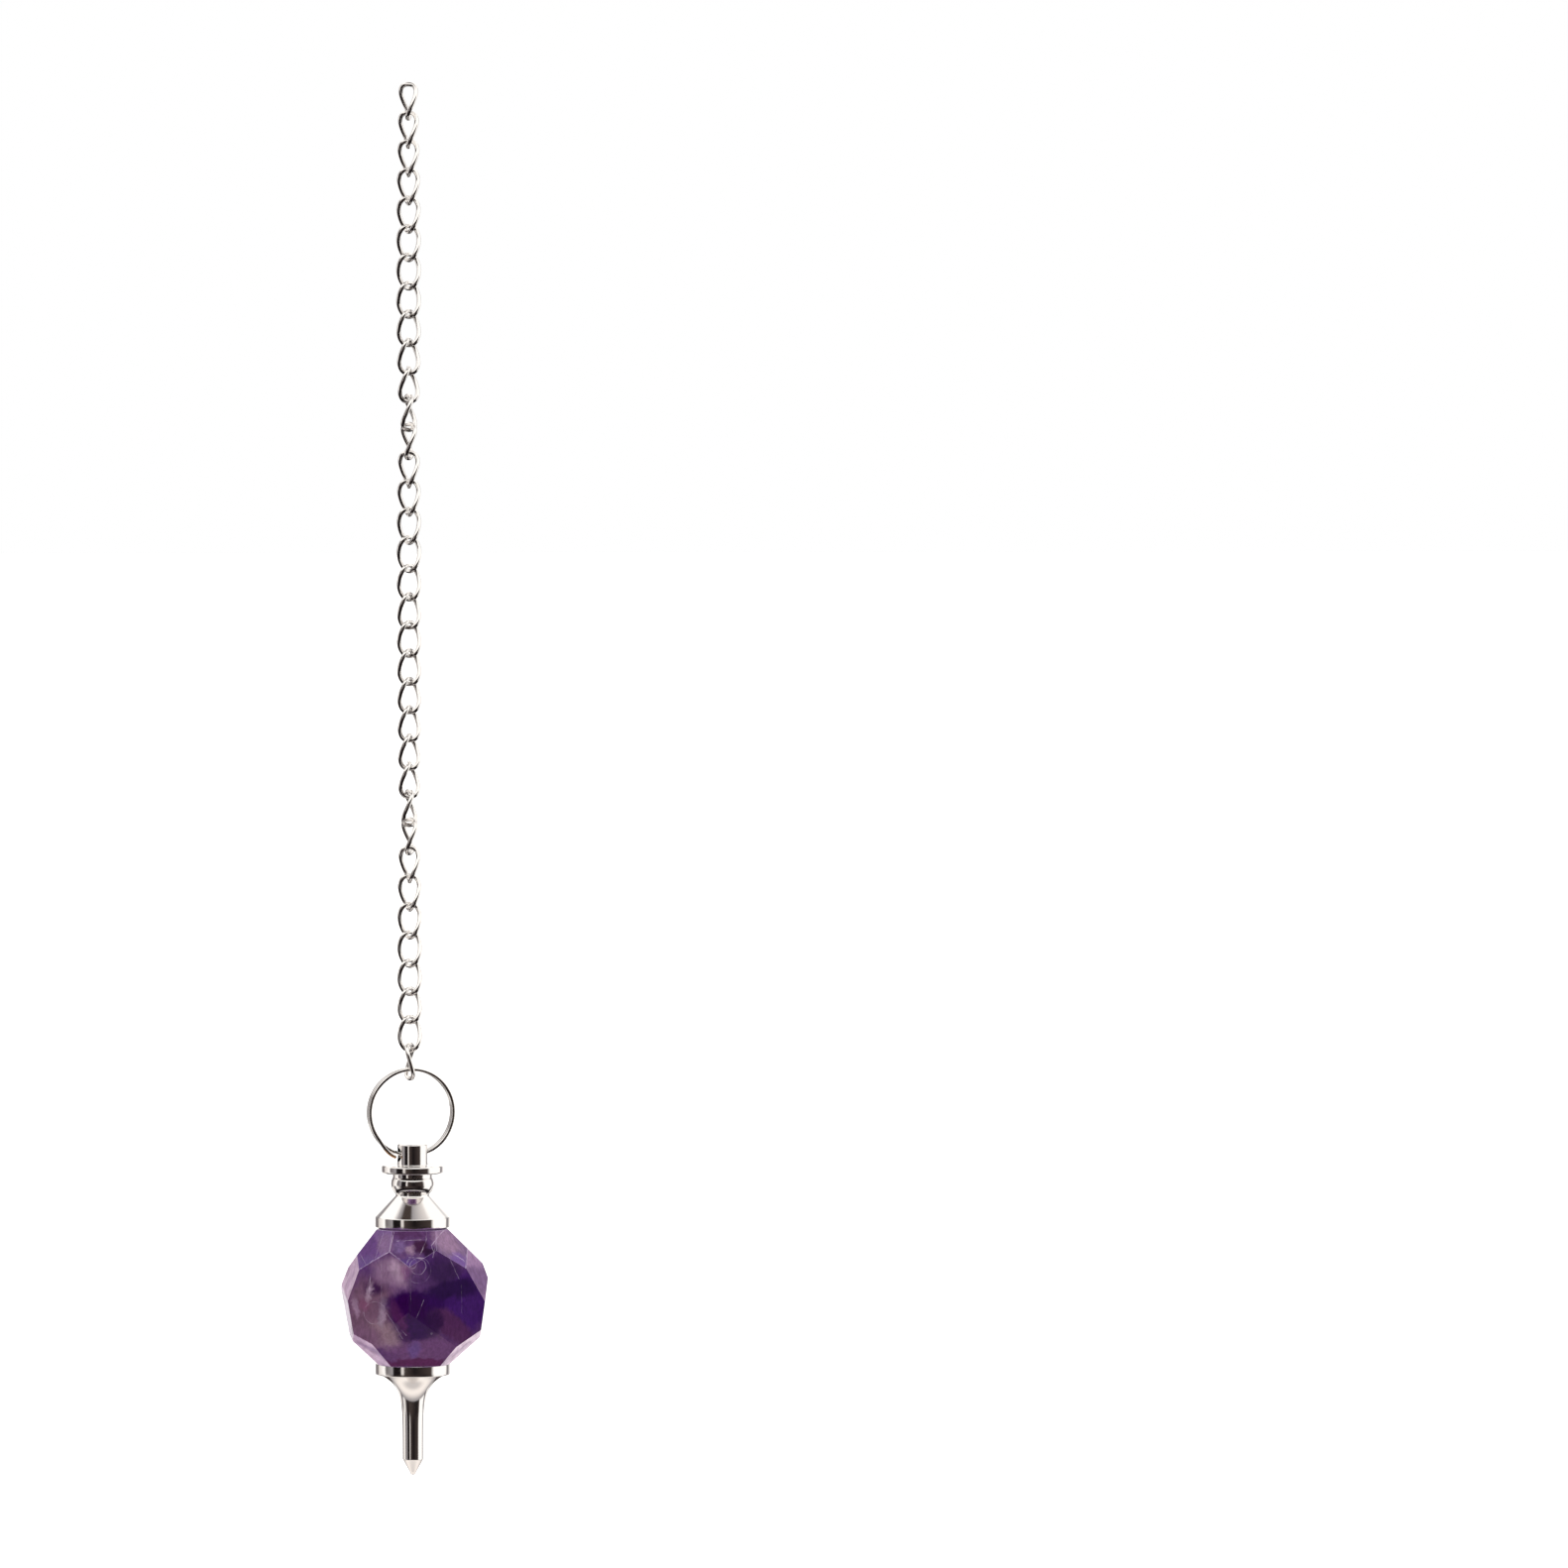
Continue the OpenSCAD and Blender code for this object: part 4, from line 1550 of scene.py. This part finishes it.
    @staticmethod
    def wall_colours(wires: Wiring, degrees: NodeSocket, walls: Sequence[tuple[float, Wall]]) -> NodeSocket:
        """A ring of walls as one colour ramp.

        Args:
            wires: the world's wiring.
            degrees: the angle round the ring, from -180 to 180.
            walls: the angle and kind of each wall's edge.

        Returns:
            The colour.
        """
        ramp = wires.node("ShaderNodeValToRGB")
        wires.feed(ramp.inputs[0], wires.math("MULTIPLY_ADD", degrees, 1 / 360, 0.5))
        stops = ramp.color_ramp.elements
        for _ in range(len(walls) - 2):
            stops.new(0.5)
        for stop, (angle, wall) in zip(stops, walls):
            stop.position = angle / 360 + 0.5
            stop.color = wall.value.linear()
        return ramp.outputs[0]

    def light_room(self) -> None:
        """Sets the soft light of the white room."""
        world = bpy.data.worlds.new("white room")
        bpy.context.scene.world = world
        world.use_nodes = True
        wires = Wiring(world.node_tree)
        world.node_tree.nodes.clear()
        x, y, z = wires.parts(wires.node("ShaderNodeTexCoord").outputs["Generated"])
        around = wires.math("DEGREES", wires.math("ARCTAN2", x, wires.math("MULTIPLY", y, -1.0)))
        tilt = wires.math("DEGREES", wires.math("ARCTAN2", x, z))
        flat = wires.math("SQRT", wires.math("ADD", wires.math("MULTIPLY", x, x), wires.math("MULTIPLY", y, y)))
        height = wires.math("DEGREES", wires.math("ARCTAN2", z, flat))
        white, dark = Wall.WHITE.value.linear(), Wall.DARK.value.linear()
        level = self.wall_colours(wires, around, self.level_room)
        low = self.wall_colours(wires, around, self.low_room)
        over = self.wall_colours(wires, tilt, self.overhead)
        walls = wires.mix(wires.spread(height, *self.level_from), low, level)
        walls = wires.mix(wires.spread(height, *self.low_from), dark, walls)
        walls = wires.mix(wires.spread(height, *self.dark_from), white, walls)
        upper = wires.mix(wires.spread(height, *self.ceiling_from), white, over)
        walls = wires.mix(wires.spread(height, *self.white_from), walls, upper)
        seen = wires.node("ShaderNodeLightPath").outputs["Is Camera Ray"]
        sky = wires.fed("ShaderNodeBackground", {
            "Color": wires.mix(seen, walls, (1.0, 1.0, 1.0, 1.0)),
            "Strength": wires.spread(seen, 0.0, 1.0, self.brightness, 1.0),
        })
        wires.feed(wires.node("ShaderNodeOutputWorld").inputs[0], sky)

    def hang_softbox(self, middle: Vector) -> None:
        """Hangs one large soft light up to the left of the camera, which the metal doesn't mirror.

        Args:
            middle: the stone's middle, in millimetres.
        """
        light = bpy.data.lights.new("softbox", "AREA")
        light.size = self.softbox_size
        light.energy = self.softbox_power
        box = bpy.data.objects.new("softbox", light)
        box.location = self.softbox_place
        box.rotation_euler = (box.location - middle * MM).to_track_quat("Z", "Y").to_euler()
        box.visible_glossy = False
        bpy.context.scene.collection.objects.link(box)

    def place_camera(self, middle: Vector) -> None:
        """Places the camera where the photograph was taken from.

        Args:
            middle: the stone's middle, in millimetres.
        """
        pitch = math.radians(self.elevation)
        back = Vector((0, -math.cos(pitch), math.sin(pitch)))
        up = Vector((0, math.sin(pitch), math.cos(pitch)))
        data = bpy.data.cameras.new("camera")
        data.sensor_width = self.sensor
        data.lens = self.sensor * self.distance / (self.photo_px / self.scale_px * MM)
        data.clip_start, data.clip_end = self.near_far
        camera = bpy.data.objects.new("camera", data)
        aside = (self.photo_px / 2 - self.stone_px[0]) / self.scale_px * MM
        raised = (self.stone_px[1] - self.photo_px / 2) / self.scale_px * MM
        target = middle * MM + Vector((aside, 0, 0)) + up * raised
        camera.location = middle * MM + back * self.distance
        camera.rotation_euler = (camera.location - target).to_track_quat("Z", "Y").to_euler()
        bpy.context.scene.collection.objects.link(camera)
        bpy.context.scene.camera = camera

    def build(self, middle: Vector) -> None:
        """Builds the floor, the light and the camera.

        Args:
            middle: the stone's middle, in millimetres.
        """
        self.lay_floor()
        self.lay_card()
        self.light_room()
        self.hang_softbox(middle)
        self.place_camera(middle)
        bpy.context.scene.view_settings.view_transform = "Standard"


def main() -> None:
    """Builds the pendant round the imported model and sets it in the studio."""
    logging.basicConfig(level=logging.INFO, format="%(message)s")
    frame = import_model()
    plate = Plate("silver plate", Tint(248, 245, 243)).dress()
    wire_plate = Plate("plated wire", Tint(248, 245, 242), 0.1, 0.06).dress()
    brass = Plate("cut brass", Tint(226, 176, 132), 0.4, 0.1).dress()
    chain, ring, cap, stone, point = Chain(), SplitRing(), UpperCap(), Stone(), PointCap()
    seat = cap.seat(chain, ring)
    middle = seat - Vector((0, 0, stone.glue + stone.crown))
    disc_top = middle - Vector((0, 0, stone.base + stone.glue))
    pieces = [
        chain.build(wire_plate),
        ring.build(chain, wire_plate, brass),
        cap.build(chain, ring, plate),
        stone.build(middle, frame["nodes"]["stone"], Amethyst()),
        point.build(disc_top, plate),
    ]
    for piece in pieces:
        LOG.info("%s: %d faces", piece.name, len(piece.data.polygons))
    Studio().build(middle)


if __name__ == "__main__":
    main()
